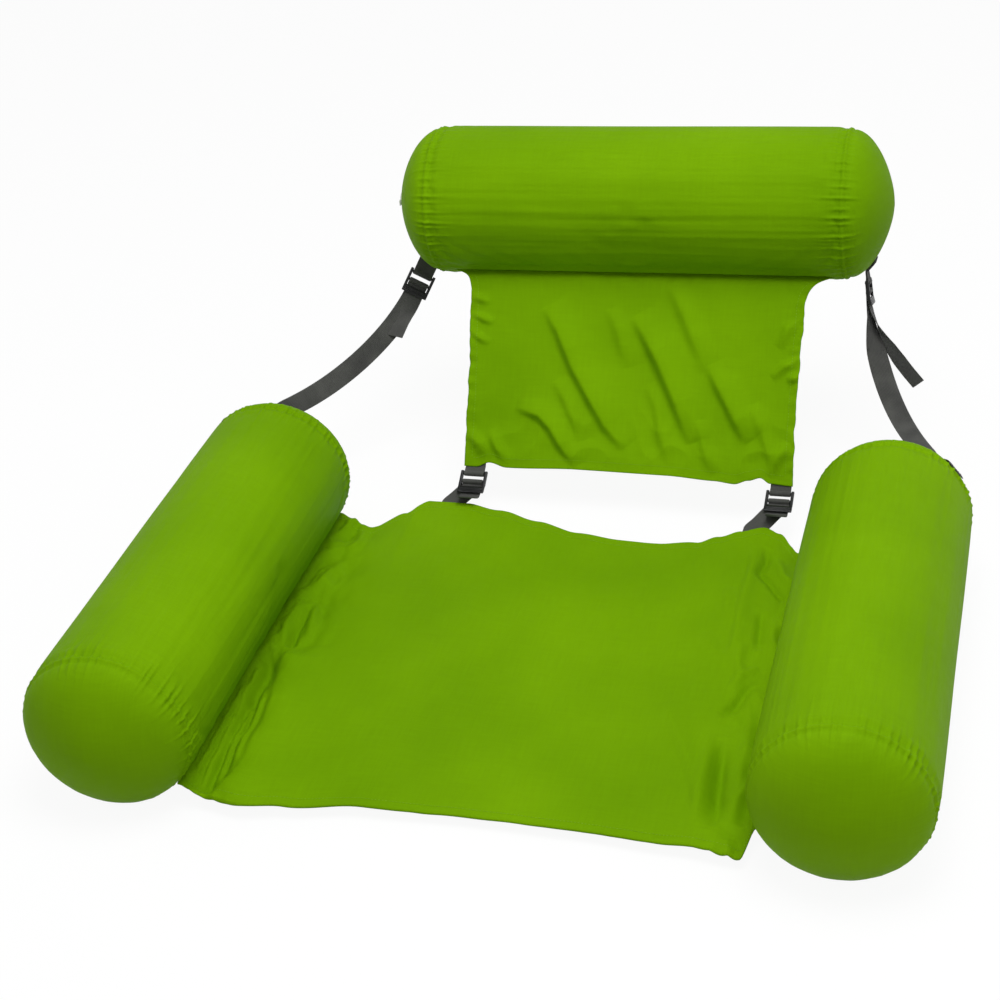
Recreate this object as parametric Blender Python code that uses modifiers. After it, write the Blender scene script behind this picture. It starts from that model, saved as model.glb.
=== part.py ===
"""An inflatable pool chair, modelled as its separate pieces.

Two armrest bolsters carry a fabric seat between them. A back panel hangs from a headrest bolster and
hooks to the seat's rear tips with two short straps. Two long straps run from the headrest's ends to
the rear of the armrests. Each bolster is a sewn tube with two domed end caps, round an air bladder
with an inflation valve. The straps pass through ladder locks.

The chair faces -Y and stands on Z = 0. Lengths are in metres and angles in degrees.
"""

import math

import bmesh
import bpy
from mathutils import Matrix, Vector

# Bolsters: the armrests and the headrest are three of one size.
BOLSTER_RADIUS = 0.090
BOLSTER_SIDES = 24
SLEEVE_LENGTH = 0.505
DOME_HEIGHT = 0.053
DOME_ROUND_SHARE = 1.36
DOME_RINGS = 5
SEAM_DRAW_IN = 0.0022
SEAM_SHOULDER = 0.016
SHOULDER_SHARES = [(1.0, 0.0), (0.3, 0.35), (0.0, 1.0)]
FABRIC = 0.001
BLADDER_WALL = 0.0006
GAP = 0.0003

# Where the bolsters lie. Setbacks are measured from the middle of the armrests.
ARM_SPACING = 0.736
HEADREST_SETBACK = 0.549
HEADREST_HEIGHT = 0.323
HEADREST_SHIFT = 0.033
HEADREST_TILT = 1.4
SEAM_ANGLE = 45.0
SEAM_STANDOFF = 0.0009

# Seat panel. Its edges are rows of sideways places with distances forward and back of the bolsters'
# middle: the front one has a step at the right armrest, the rear one a tip at each strap.
SEAT_FRONT_EDGE = [(-0.305, 0.252), (-0.278, 0.258), (-0.235, 0.266), (-0.190, 0.258), (-0.113, 0.245),
                   (0.000, 0.243), (0.100, 0.246), (0.214, 0.254), (0.266, 0.262), (0.286, 0.222),
                   (0.305, 0.219)]
SEAT_REAR_EDGE = [(-0.305, 0.262), (-0.258, 0.247), (-0.222, 0.276), (-0.198, 0.303), (-0.150, 0.303),
                  (-0.108, 0.292), (-0.055, 0.278), (-0.005, 0.266), (0.045, 0.260), (0.095, 0.259),
                  (0.140, 0.264), (0.165, 0.277), (0.184, 0.290), (0.226, 0.290), (0.262, 0.256),
                  (0.305, 0.262)]
SEAT_SCOOP = 0.248
SEAT_TIP = 0.289
SEAT_TIP_X = {"left": -0.172, "right": 0.204}
SEAT_SAG = 0.012
SEAT_VALLEY = 0.007
SEAT_VALLEY_WIDTH = 0.030
SEAT_PUCKER = 0.002
SEAT_PUCKERS = 7
SEAT_COLUMNS = 32
SEAT_ROWS = 16
SEAT_ROW_CROWD_SHARE = 1.4

# Back panel, and the folds across it as shares of its width and height.
BACK_BOTTOM_SETBACK = 0.348
BACK_BOTTOM_HEIGHT = 0.055
BACK_BOTTOM_SHIFT = 0.0395
BACK_WIDTH_TOP = 0.418
BACK_WIDTH_BOTTOM = 0.407
BACK_WAIST = 0.002
BACK_BILLOW = 0.006
BACK_COLUMNS = 26
BACK_ROWS = 14
FOLD_HEIGHT = 0.0035
FOLD_WIDTH = 0.013
FOLD_SHARES = [(-0.45, 0.80, -0.08, 0.20, 1.0), (0.09, 0.74, 0.33, 0.24, 0.8),
               (-0.68, 0.46, -0.38, 0.16, 0.7), (0.49, 0.60, 0.66, 0.26, 0.7)]

# Webbing and its sewn tabs.
WEBBING_WIDTH = 0.025
WEBBING = 0.0012
TAB = 0.016
LOOP_REACH = 0.012
LOCK_CORNER_INSET = 0.014
SPAN_STEPS = 16
LOWER_TAIL_LENGTH = 0.040
LOWER_TAIL_RISE = 0.0155
LOWER_TAIL_SHARES = [(0.68, -0.05), (0.83, 0.13), (0.93, 0.50), (1.0, 1.0)]

# Long side straps. Each side hangs with its own slack, as in use. Angles run round a bolster's end
# from its outer side, and then over its dome from the rim.
ARM_ANCHOR = (38.0, 4.0)
ARM_ANCHOR_SWEEP = (0.0, 24.0)
HEAD_ANCHOR = {"left": (260.0, 27.0), "right": (262.0, 22.0)}
HEAD_ANCHOR_SWEEP = {"left": (10.0, 0.0), "right": (0.0, 13.0)}
SIDE_LOOP_REACH = {"left": 0.024, "right": 0.016}
STRAP_DROP = {"left": 50.0, "right": 70.0}
STRAP_DROP_REACH = {"left": 0.080, "right": 0.140}
STRAP_RISE = {"left": 28.0, "right": 34.0}
STRAP_RISE_REACH = {"left": 0.110, "right": 0.130}
STRAP_REARWARD_SHARE = 0.3
STRAP_TURN_SHARES = [(0.0, 0.0), (0.16, 0.0), (0.5, 1.0), (0.72, 1.0), (1.0, 2.0)]
SIDE_TAIL_LENGTH = {"left": 0.085, "right": 0.130}
SIDE_TAIL_SPREAD = {"left": 0.004, "right": 0.050}
SEWN_STEPS = 4

# Ladder lock, a one-piece moulding: side rails, loop bar, grip bar and front tab.
LOCK_INNER_WIDTH = 0.0265
LOCK_RAIL = 0.0035
LOCK_LENGTH = 0.0313
LOCK_HEIGHT = 0.0044
LOCK_BEVEL = 0.0004
LOOP_BAR_RADIUS = 0.0018
GRIP_BAR_RADIUS = 0.0017
GRIP_BAR_PLACE = 0.0110
BAR_SIDES = 12
RAIL_SHARES = [(-0.121, -0.27), (-0.089, -0.5), (0.479, -0.5), (0.607, -0.09), (0.767, 0.05),
               (0.879, 0.41), (0.879, 0.86), (0.767, 0.77), (0.575, 0.55), (-0.083, 0.5),
               (-0.121, 0.27)]
TAB_SHARES = [(0.594, 0.08), (0.735, 0.10), (0.879, 0.43), (0.879, 0.84), (0.835, 0.80),
              (0.825, 0.92), (0.795, 0.89), (0.795, 0.76), (0.765, 0.73), (0.755, 0.85),
              (0.725, 0.82), (0.725, 0.69), (0.695, 0.66), (0.685, 0.78), (0.655, 0.75),
              (0.655, 0.62), (0.594, 0.52)]

# Inflation valve, at the middle of one cap of each bolster.
VALVE_SIDES = 16
NECK_RADIUS = 0.0092
NECK_BORE = 0.0062
NECK_STAND = 0.0015
FLANGE_RADIUS = 0.0150
FLANGE_THICKNESS = 0.0012
FLANGE_DEPTH = 0.0053
PLUG_HEAD = 0.0016
PLUG_HEAD_RADIUS = 0.0088
PLUG_STEM = 0.0085
PLUG_TIP = 0.0012
PLUG_LIP = 0.0050
PLUG_LIP_WIDTH = 0.0070

# Colours, as red, green and blue.
LIME = (0.170, 0.360, 0.003)
CHARCOAL = (0.045, 0.045, 0.043)
BLACK = (0.012, 0.012, 0.012)
CLEAR_PVC = (0.62, 0.68, 0.66)
WHITE_PVC = (0.78, 0.78, 0.76)

MERGE = 0.00001
OBJECT_NAME = "inflatable_pool_chair"

# Places that follow from the sizes above.
FACET_TURN = math.pi / BOLSTER_SIDES
FACET_DEPTH = BOLSTER_RADIUS * math.cos(FACET_TURN)
DOME_TIP = SLEEVE_LENGTH / 2 + GAP + DOME_HEIGHT
CENTRE_SHIFT = (DOME_TIP - HEADREST_SETBACK - FACET_DEPTH) / 2
ARM_X = ARM_SPACING / 2
SEAM_REACH = FACET_DEPTH + SEAM_STANDOFF
SEAM_ACROSS = SEAM_REACH * math.cos(math.radians(SEAM_ANGLE))
SEAM_DOWN = SEAM_REACH * math.sin(math.radians(SEAM_ANGLE))
SEAT_HALF = ARM_X - SEAM_ACROSS
SEAT_HEIGHT = FACET_DEPTH - SEAM_DOWN
TILT = Matrix.Rotation(-math.radians(HEADREST_TILT), 4, "Y")
SIDES = {"left": -1, "right": 1}


def clear_scene():
    """Remove whatever the open file holds."""
    for item in list(bpy.data.objects):
        bpy.data.objects.remove(item, do_unlink=True)


def new_collection(name):
    group = bpy.data.collections.new(name)
    bpy.context.scene.collection.children.link(group)
    return group


def make_material(name, colour, roughness):
    """A Principled material of one colour."""
    material = bpy.data.materials.new(name)
    material.use_nodes = True
    shader = material.node_tree.nodes["Principled BSDF"]
    shader.inputs["Base Color"].default_value = (*colour, 1.0)
    shader.inputs["Roughness"].default_value = roughness
    return material


def chair_point(x, setback, height):
    """A world point from a sideways place, a setback behind the armrests' middle and a height."""
    return Vector((x, setback + CENTRE_SHIFT, height))


def add_object(name, mesh, finish, matrix=None, pivot=None):
    """Put a mesh in the chair's collection, at a world matrix, under the pivot that moves it."""
    item = bpy.data.objects.new(name, mesh)
    chair.objects.link(item)
    colour, roughness = finish
    mesh.materials.clear()
    mesh.materials.append(make_material(name, colour, roughness))
    if matrix is not None:
        item.matrix_world = matrix
    hang_on(item, pivot)
    return item


def hang_on(item, pivot):
    """Parent an object to a pivot, and leave it where it is."""
    if pivot is None:
        return
    item.parent = pivot
    item.matrix_parent_inverse = pivot.matrix_basis.inverted()


def add_pivot(name, place):
    """An empty on the axis of a joint."""
    pivot = bpy.data.objects.new(name, None)
    pivot.location = place
    pivot.empty_display_size = BOLSTER_RADIUS
    chair.objects.link(pivot)
    return pivot


def profile_mesh(name, points, closed):
    """A chain of edges in the XZ plane, from (radius, height) points."""
    mesh = bpy.data.meshes.new(name)
    count = len(points)
    edges = [(i, i + 1) for i in range(count - 1)]
    if closed:
        edges.append((count - 1, 0))
    mesh.from_pydata([(radius, 0.0, height) for radius, height in points], edges, [])
    return mesh


def turned(name, points, closed, finish, matrix, pivot, sides=BOLSTER_SIDES):
    """A turned piece: its profile runs down the outer side and up the inner one."""
    item = add_object(name, profile_mesh(name, points, closed), finish, matrix, pivot)
    spin = item.modifiers.new("turn", "SCREW")
    spin.axis = "Z"
    spin.angle = math.tau
    spin.steps = sides
    spin.render_steps = sides
    spin.use_merge_vertices = True
    spin.merge_threshold = MERGE
    spin.use_smooth_shade = True
    return item


def tube_side(inset):
    """Radius and height down the side of a bolster, from seam to seam, inset from its skin."""
    radius = BOLSTER_RADIUS - inset
    half = SLEEVE_LENGTH / 2
    top = [(radius - SEAM_DRAW_IN * drawn, half - SEAM_SHOULDER * along)
           for drawn, along in SHOULDER_SHARES]
    bottom = [(r, -height) for r, height in reversed(top)]
    return top + bottom


def dome_radius_height(turn, inset):
    """Radius and height of the dome above its rim, at a turn of 0 at the rim to 90 at the pole."""
    angle = math.radians(turn)
    rim = BOLSTER_RADIUS - SEAM_DRAW_IN - inset
    return rim * math.cos(angle) ** DOME_ROUND_SHARE, (DOME_HEIGHT - inset) * math.sin(angle)


def dome_side(inset, hole, base):
    """Radius and height from the pole, or a hole's edge, down to the rim."""
    rim = BOLSTER_RADIUS - SEAM_DRAW_IN - inset
    last = 90.0
    if hole:
        last = math.degrees(math.acos((hole / rim) ** (1 / DOME_ROUND_SHARE)))
    points = []
    for ring in range(DOME_RINGS + 1):
        radius, height = dome_radius_height(last * (1 - ring / DOME_RINGS), inset)
        points.append((radius, base + height))
    if not hole:
        points[0] = (0.0, points[0][1])
    return points


def cap_profile(hole):
    """A domed fabric disc that starts a gap beyond the sleeve's end."""
    base = SLEEVE_LENGTH / 2 + GAP
    outer = dome_side(0.0, hole, base)
    inner = dome_side(FABRIC, hole, base)
    return outer + list(reversed(inner))


def bladder_profile():
    """A hollow bladder with one hole, for the valve, at its top."""
    outer_inset = FABRIC + GAP
    inner_inset = outer_inset + BLADDER_WALL
    hole = NECK_RADIUS + GAP
    half = SLEEVE_LENGTH / 2
    skins = []
    for inset in (outer_inset, inner_inset):
        top = dome_side(inset, hole, half)
        bottom = [(r, -height) for r, height in reversed(dome_side(inset, 0.0, half))]
        skins.append(top[:-1] + tube_side(inset) + bottom[1:])
    outer, inner = skins
    return list(reversed(inner)) + outer


def bolster_matrix(place, along):
    """Lay a bolster's local Z along a direction of its place, with a facet flat underneath."""
    if along == "front":
        turn = Matrix.Rotation(math.pi / 2, 4, "X")
    elif along == "rear":
        turn = Matrix.Rotation(math.pi / 2, 4, "X") @ Matrix.Rotation(math.pi, 4, "X")
    elif along == "right":
        turn = Matrix.Rotation(math.pi / 2, 4, "Y")
    else:
        turn = Matrix.Rotation(math.pi / 2, 4, "Y") @ Matrix.Rotation(math.pi, 4, "X")
    return place @ turn @ Matrix.Rotation(FACET_TURN, 4, "Z")


def valve_profile(pole):
    """The valve's inner flange, neck and bore, below and through the pole of the dome."""
    top = pole + NECK_STAND
    flange_top = pole - FLANGE_DEPTH
    flange_bottom = flange_top - FLANGE_THICKNESS
    return [(NECK_RADIUS, top), (NECK_RADIUS, flange_top), (FLANGE_RADIUS, flange_top),
            (FLANGE_RADIUS, flange_bottom), (NECK_BORE, flange_bottom), (NECK_BORE, top)]


def plug_profile(base):
    """A plug whose head rests a gap above the neck and whose stem fills the bore."""
    stem = NECK_BORE - GAP
    foot = base - PLUG_STEM
    return [(0.0, base + PLUG_HEAD), (PLUG_HEAD_RADIUS, base + PLUG_HEAD),
            (PLUG_HEAD_RADIUS, base), (stem, base), (stem, foot + PLUG_TIP),
            (stem - PLUG_TIP, foot), (0.0, foot)]


def box_mesh(low, high):
    """A closed box between two corners."""
    shape = bmesh.new()
    size = Vector(high) - Vector(low)
    middle = (Vector(high) + Vector(low)) / 2
    place = Matrix.Translation(middle) @ Matrix.Diagonal((*size, 1.0))
    bmesh.ops.create_cube(shape, size=1.0, matrix=place)
    mesh = bpy.data.meshes.new("box")
    shape.to_mesh(mesh)
    shape.free()
    return mesh


def helper(name, mesh):
    """An object that only shapes another one."""
    item = bpy.data.objects.new(name, mesh)
    guides.objects.link(item)
    item.hide_render = True
    item.display_type = "WIRE"
    return item


def join_onto(item, other):
    """Unite a helper's body with an object."""
    union = item.modifiers.new("join " + other.name, "BOOLEAN")
    union.operation = "UNION"
    union.object = other


def build_valve(prefix, matrix, carrier):
    """A valve in the bolster's top cap, and the plug that pulls out of it."""
    pole = SLEEVE_LENGTH / 2 + GAP + DOME_HEIGHT
    turned(prefix + "_valve", valve_profile(pole), True, (WHITE_PVC, 0.35), matrix, carrier,
           VALVE_SIDES)
    pull = add_pivot(prefix + "_plug_pull", matrix.translation)
    base = pole + NECK_STAND + GAP
    plug = turned(prefix + "_valve_plug", plug_profile(base), False, (WHITE_PVC, 0.35), matrix, pull,
                  VALVE_SIDES)
    reach = PLUG_HEAD_RADIUS + PLUG_LIP
    half = PLUG_LIP_WIDTH / 2
    low = (PLUG_HEAD_RADIUS * math.cos(math.pi / 4), -half, base)
    lip = helper(prefix + "_plug_lip", box_mesh(low, (reach, half, base + PLUG_HEAD)))
    lip.matrix_world = matrix
    join_onto(plug, lip)


def build_bolster(prefix, place, ends, valve_end, pivot):
    """Sleeve, two caps, bladder and valve of one bolster, all hung on one pivot."""
    lime = (LIME, 0.62)
    first, last = ends
    sleeve = tube_side(0.0) + list(reversed(tube_side(FABRIC)))
    turned(prefix + "_sleeve", sleeve, True, lime, bolster_matrix(place, first), pivot)
    for end in ends:
        hole = NECK_RADIUS + GAP if end == valve_end else 0.0
        turned(prefix + "_cap_" + end, cap_profile(hole), bool(hole), lime,
               bolster_matrix(place, end), pivot)
    inward = bolster_matrix(place, valve_end)
    turned(prefix + "_bladder", bladder_profile(), False, (CLEAR_PVC, 0.3), inward, pivot)
    build_valve(prefix, inward, pivot)


def smooth_share(table, place):
    """Read a table of (place, share) pairs with eased steps between them."""
    for (a, low), (b, high) in zip(table, table[1:]):
        if place <= b:
            part = (place - a) / (b - a)
            eased = part * part * (3 - 2 * part)
            return low + (high - low) * eased
    return table[-1][1]


def sheet(name, columns, rows, place, finish, pivot):
    """A fabric sheet: a grid of points with the fabric's thickness."""
    shape = bmesh.new()
    grid = [[shape.verts.new(place(2 * i / columns - 1, j / rows)) for i in range(columns + 1)]
            for j in range(rows + 1)]
    for lower, upper in zip(grid, grid[1:]):
        for i in range(columns):
            shape.faces.new((lower[i], lower[i + 1], upper[i + 1], upper[i]))
    mesh = bpy.data.meshes.new(name)
    shape.to_mesh(mesh)
    shape.free()
    mesh.shade_smooth()
    item = add_object(name, mesh, finish, None, pivot)
    thicken(item, FABRIC)
    return item


def thicken(item, wall):
    """Give an open surface a wall, half of it on each side."""
    shell = item.modifiers.new("wall", "SOLIDIFY")
    shell.thickness = wall
    shell.offset = 0.0
    shell.use_even_offset = True


def seat_place(x, along):
    """A point of the seat panel, from a sideways place and a share of the way from front to rear."""
    side = min(1.0, abs(x) / SEAT_HALF)
    rear = smooth_share(SEAT_REAR_EDGE, x)
    tip = max(0.0, min(1.0, (rear - SEAT_SCOOP) / (SEAT_TIP - SEAT_SCOOP)))
    front = smooth_share(SEAT_FRONT_EDGE, x)
    setback = -front + (front + rear) * along
    inner = (1 - side) * SEAT_HALF
    valley = math.exp(-((inner - SEAT_VALLEY_WIDTH) / SEAT_VALLEY_WIDTH) ** 2)
    edge = min(1.0, inner / SEAT_VALLEY_WIDTH)
    rise = SEAT_PUCKER * valley * math.sin(math.tau * SEAT_PUCKERS * along)
    sag = SEAT_SAG * (1 - side ** 4) * (1 - tip * along ** 6)
    dip = sag + SEAT_VALLEY * valley * (1 - along ** 6)
    return chair_point(x, setback, SEAT_HEIGHT + (rise - dip) * edge)


def seat_grid_place(across, row):
    """A grid point of the seat panel, with the rows closer together towards the rear tips."""
    return seat_place(across * SEAT_HALF, 1 - (1 - row) ** SEAT_ROW_CROWD_SHARE)


def tip_station(name, reach, depth):
    """A point under the seat panel, a reach in front of a rear tip, and its direction across."""
    x = SEAT_TIP_X[name]
    span = smooth_share(SEAT_FRONT_EDGE, x) + smooth_share(SEAT_REAR_EDGE, x)
    along = 1 - reach / span
    half = WEBBING_WIDTH / 2
    place = seat_place(x, along)
    ahead = (place - seat_place(x, along - TAB / span)).normalized()
    across = (seat_place(x + half, along) - seat_place(x - half, along)).normalized()
    return place - across.cross(ahead) * depth, across


def headrest_place():
    """The headrest's middle and tilt."""
    return Matrix.Translation(chair_point(HEADREST_SHIFT, HEADREST_SETBACK, HEADREST_HEIGHT)) @ TILT


def head_seam_point(x):
    """A point on the seam between the headrest and the back panel, from its place along the seam."""
    return headrest_place() @ Vector((x, -SEAM_ACROSS, -SEAM_DOWN))


def back_directions():
    """Length of the back panel at its middle, its direction up the panel and its front normal."""
    rise = head_seam_point(0.0) - chair_point(HEADREST_SHIFT, BACK_BOTTOM_SETBACK, BACK_BOTTOM_HEIGHT)
    rise.x = 0.0
    up = rise.normalized()
    return rise.length, up, Vector((0.0, -up.z, up.y))


def fold_height(x, rise, length):
    """How far the folds lift a point of the back panel."""
    total = 0.0
    half = BACK_WIDTH_TOP / 2
    for x0, y0, x1, y1, share in FOLD_SHARES:
        start = Vector((x0 * half, y0 * length))
        run = Vector((x1 * half, y1 * length)) - start
        offset = Vector((x, rise)) - start
        part = max(0.0, min(1.0, offset.dot(run) / run.length_squared))
        gap = (offset - run * part).length
        swell = math.sin(math.pi * (part + 1) / 3)
        total += share * FOLD_HEIGHT * swell * math.exp(-((gap / FOLD_WIDTH) ** 2))
    return total


def back_width(along):
    """Width of the back panel at a share of its height."""
    hump = 4 * along * (1 - along)
    return BACK_WIDTH_BOTTOM + (BACK_WIDTH_TOP - BACK_WIDTH_BOTTOM) * along - 2 * BACK_WAIST * hump


def back_place(across, along):
    """A point of the back panel: across from -1 to 1, along from 0 at the bottom to 1 at the seam."""
    length, up, front = back_directions()
    hump = 4 * along * (1 - along)
    x = across * back_width(along) / 2
    lift = fold_height(x, along * length, length) * hump - BACK_BILLOW * hump * (1 - across ** 2)
    low = chair_point(BACK_BOTTOM_SHIFT + x, BACK_BOTTOM_SETBACK, BACK_BOTTOM_HEIGHT)
    return low.lerp(head_seam_point(x), along) + front * lift


def corner_point(x, reach):
    """A point of the back panel above a lower ladder lock."""
    along = reach / back_directions()[0]
    return back_place((x - BACK_BOTTOM_SHIFT) * 2 / back_width(along), along)


def ribbon(name, stations, pivot):
    """Webbing along a path: each station is a middle point and a direction across the webbing."""
    shape = bmesh.new()
    rows = []
    for middle, across in stations:
        half = across.normalized() * (WEBBING_WIDTH / 2)
        rows.append((shape.verts.new(middle - half), shape.verts.new(middle + half)))
    for (a, b), (c, d) in zip(rows, rows[1:]):
        shape.faces.new((a, b, d, c))
    mesh = bpy.data.meshes.new(name)
    shape.to_mesh(mesh)
    shape.free()
    item = add_object(name, mesh, (CHARCOAL, 0.8), None, pivot)
    thicken(item, WEBBING)
    return item


def extruded(name, outline, width, centre=0.0):
    """An outline in the XZ plane, given a width along Y."""
    curve = bpy.data.curves.new(name, "CURVE")
    curve.dimensions = "2D"
    curve.fill_mode = "BOTH"
    curve.extrude = width / 2
    line = curve.splines.new("POLY")
    line.points.add(len(outline) - 1)
    for point, (x, z) in zip(line.points, outline):
        point.co = (x, z, 0.0, 1.0)
    line.use_cyclic_u = True
    item = bpy.data.objects.new(name, curve)
    guides.objects.link(item)
    item.matrix_world = Matrix.Translation((0.0, centre, 0.0)) @ Matrix.Rotation(math.pi / 2, 4, "X")
    bpy.context.view_layer.update()
    mesh = bpy.data.meshes.new_from_object(item.evaluated_get(bpy.context.evaluated_depsgraph_get()))
    mesh.transform(item.matrix_world)
    bpy.data.objects.remove(item)
    shape = bmesh.new()
    shape.from_mesh(mesh)
    bmesh.ops.remove_doubles(shape, verts=shape.verts, dist=MERGE)
    bmesh.ops.recalc_face_normals(shape, faces=shape.faces)
    shape.to_mesh(mesh)
    shape.free()
    return mesh


def bar_mesh(radius, place, width):
    """A round bar along Y."""
    shape = bmesh.new()
    lie = Matrix.Translation((place, 0.0, 0.0)) @ Matrix.Rotation(math.pi / 2, 4, "X")
    bmesh.ops.create_cone(shape, cap_ends=True, segments=BAR_SIDES, radius1=radius, radius2=radius,
                          depth=width, matrix=lie @ Matrix.Rotation(math.pi / BAR_SIDES, 4, "Z"))
    mesh = bpy.data.meshes.new("bar")
    shape.to_mesh(mesh)
    shape.free()
    return mesh


def lock_mesh():
    """The ladder lock: local X runs from the loop bar to the front tab, and Z points up."""
    rail_y = (LOCK_INNER_WIDTH + LOCK_RAIL) / 2
    rails = [(LOCK_LENGTH * x, LOCK_HEIGHT * z) for x, z in RAIL_SHARES]
    tab = [(LOCK_LENGTH * x, LOCK_HEIGHT * z) for x, z in TAB_SHARES]
    body = helper("lock_rail_right", extruded("rail", rails, LOCK_RAIL, rail_y))
    other = helper("lock_rail_left", extruded("rail", rails, LOCK_RAIL, -rail_y))
    for rail in (body, other):
        soften = rail.modifiers.new("soften", "BEVEL")
        soften.width = LOCK_BEVEL
        soften.segments = 1
        soften.limit_method = "ANGLE"
    reach = LOCK_INNER_WIDTH + LOCK_RAIL
    parts = [other,
             helper("lock_loop_bar", bar_mesh(LOOP_BAR_RADIUS, 0.0, reach)),
             helper("lock_grip_bar", bar_mesh(GRIP_BAR_RADIUS, GRIP_BAR_PLACE, reach)),
             helper("lock_tab", extruded("tab", tab, reach))]
    for part in parts:
        join_onto(body, part)
    bpy.context.view_layer.update()
    graph = bpy.context.evaluated_depsgraph_get()
    mesh = bpy.data.meshes.new_from_object(body.evaluated_get(graph))
    for part in [body] + parts:
        bpy.data.objects.remove(part)
    return mesh


def frame_matrix(origin, forward, across):
    """A local frame: X forward, Y across, Z square to both."""
    x = forward.normalized()
    y = (across - x * across.dot(x)).normalized()
    z = x.cross(y)
    turn = Matrix((x, y, z)).transposed().to_4x4()
    return Matrix.Translation(origin) @ turn


def wrap_points(centre_x, radius, first, last, steps):
    """Points of an arc round a bar, in the lock's own X and Z, from one angle to another."""
    points = []
    for step in range(steps + 1):
        angle = math.radians(first + (last - first) * step / steps)
        points.append((centre_x + radius * math.cos(angle), radius * math.sin(angle)))
    return points


def threaded_points():
    """The strap inside the lock: in under the bars, back over the grip bar, out under the tab."""
    wrap = GRIP_BAR_RADIUS + GAP + WEBBING / 2
    under = -(WEBBING + GAP) - WEBBING / 2 + GAP + WEBBING / 4
    exit_x = GRIP_BAR_PLACE + wrap
    points = [(GRIP_BAR_PLACE + 2 * wrap, -wrap)]
    points += wrap_points(GRIP_BAR_PLACE, wrap, -90.0, -340.0, 8)
    points += [(exit_x + WEBBING / 2, under + WEBBING / 2), (exit_x + 1.8 * WEBBING, under + WEBBING / 6),
               (exit_x + 4 * WEBBING, under)]
    return points


def loop_points():
    """The loop round the loop bar, from its upper layer to its lower layer."""
    wrap = LOOP_BAR_RADIUS + GAP + WEBBING / 2
    layer = (WEBBING + GAP) / 2
    neck = -2.6 * wrap
    upper = [(neck, layer), (-1.25 * wrap, 1.7 * layer)]
    lower = [(-1.25 * wrap, -1.7 * layer), (neck, -layer)]
    return upper + wrap_points(0.0, wrap, 135.0, -135.0, 9) + lower


def in_frame(matrix, points):
    """Stations in a lock's frame, from (X, Z) points, with the webbing across its Y."""
    across = matrix.to_3x3() @ Vector((0.0, 1.0, 0.0))
    return [(matrix @ Vector((x, 0.0, z)), across) for x, z in points]


def hinge_point():
    """A point on the line through both lower loop bars, on which the back swings."""
    bottom = chair_point(0.0, BACK_BOTTOM_SETBACK, BACK_BOTTOM_HEIGHT)
    tip = chair_point(0.0, SEAT_TIP, SEAT_HEIGHT)
    forward = (tip - bottom).normalized()
    down = Vector((1.0, 0.0, 0.0)).cross(forward)
    depth = FABRIC / 2 + 1.5 * GAP + 2 * WEBBING
    return bottom + forward * LOOP_REACH + down * depth


def build_lower_straps(name, pivots, shared_lock):
    """Loop on the back panel, ladder lock, and short strap from the seat's rear tip."""
    seat_pivot, back_pivot = pivots
    across = Vector((1.0, 0.0, 0.0))
    x = BACK_BOTTOM_SHIFT + SIDES[name] * (BACK_WIDTH_BOTTOM / 2 - LOCK_CORNER_INSET)
    origin = hinge_point()
    origin.x = x
    tip = seat_place(SEAT_TIP_X[name], 1.0)
    forward = tip - origin
    forward.x = 0.0
    frame = frame_matrix(origin, forward, across)
    length, up, front = back_directions()
    first = FABRIC / 2 + GAP + WEBBING / 2
    layers = [[(corner_point(x, reach) - front * depth, across) for reach in (TAB, -TAB / 16)]
              for depth in (first, first + GAP + WEBBING)]
    stations = layers[0] + in_frame(frame, loop_points()) + list(reversed(layers[1]))
    ribbon("loop_lower_" + name, stations, back_pivot)

    under = [tip_station(name, reach, first + GAP) for reach in (1.6 * TAB, TAB, TAB / 5, 0.0)]
    inside = threaded_points()
    start = frame @ Vector((inside[0][0], 0.0, inside[0][1]))
    end = under[-1][0]
    lead = [(end.lerp(start, share), across) for share in (0.3, 0.65)]
    for place, way in lead:
        place.z = (frame @ Vector(((frame.inverted() @ place).x, 0.0, inside[0][1]))).z
    tail = [(LOWER_TAIL_LENGTH * share, LOWER_TAIL_RISE * rise) for share, rise in LOWER_TAIL_SHARES]
    ribbon("strap_lower_" + name, under + lead + in_frame(frame, inside + tail), seat_pivot)

    pivot = add_pivot("lock_lower_" + name + "_tip", frame.translation)
    add_object("lock_lower_" + name, shared_lock.copy(), (BLACK, 0.3), frame, pivot)


def dome_point(place, axis, angle, turn, standoff):
    """A point above a bolster's dome, and the dome's normal there."""
    level = math.cos(math.radians(angle))
    rise = math.sin(math.radians(angle))
    radial = Vector((0.0, level, rise)) if axis.x else Vector((level, 0.0, rise))
    step = 0.5
    radius, height = dome_radius_height(turn, 0.0)
    next_radius, next_height = dome_radius_height(turn + step, 0.0)
    normal = radial * (next_height - height) + axis * (radius - next_radius)
    normal.normalize()
    point = axis * (SLEEVE_LENGTH / 2 + GAP + height) + radial * radius + normal * standoff
    return place @ point, place.to_3x3() @ normal


def sewn_stations(place, axis, start, sweep, standoff):
    """Webbing laid over a dome: its middle points and its directions across."""
    points = [dome_point(place, axis, start[0] + sweep[0] * share, start[1] + sweep[1] * share, standoff)
              for share in [step / SEWN_STEPS for step in range(SEWN_STEPS + 1)]]
    travel = (points[-1][0] - points[0][0]).normalized()
    return [(point, travel.cross(normal).normalized()) for point, normal in points]


def facing(stations, across):
    """The same stations, with each direction across turned to agree with a given one."""
    return [(place, way if way.dot(across) > 0 else -way) for place, way in stations]


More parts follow.
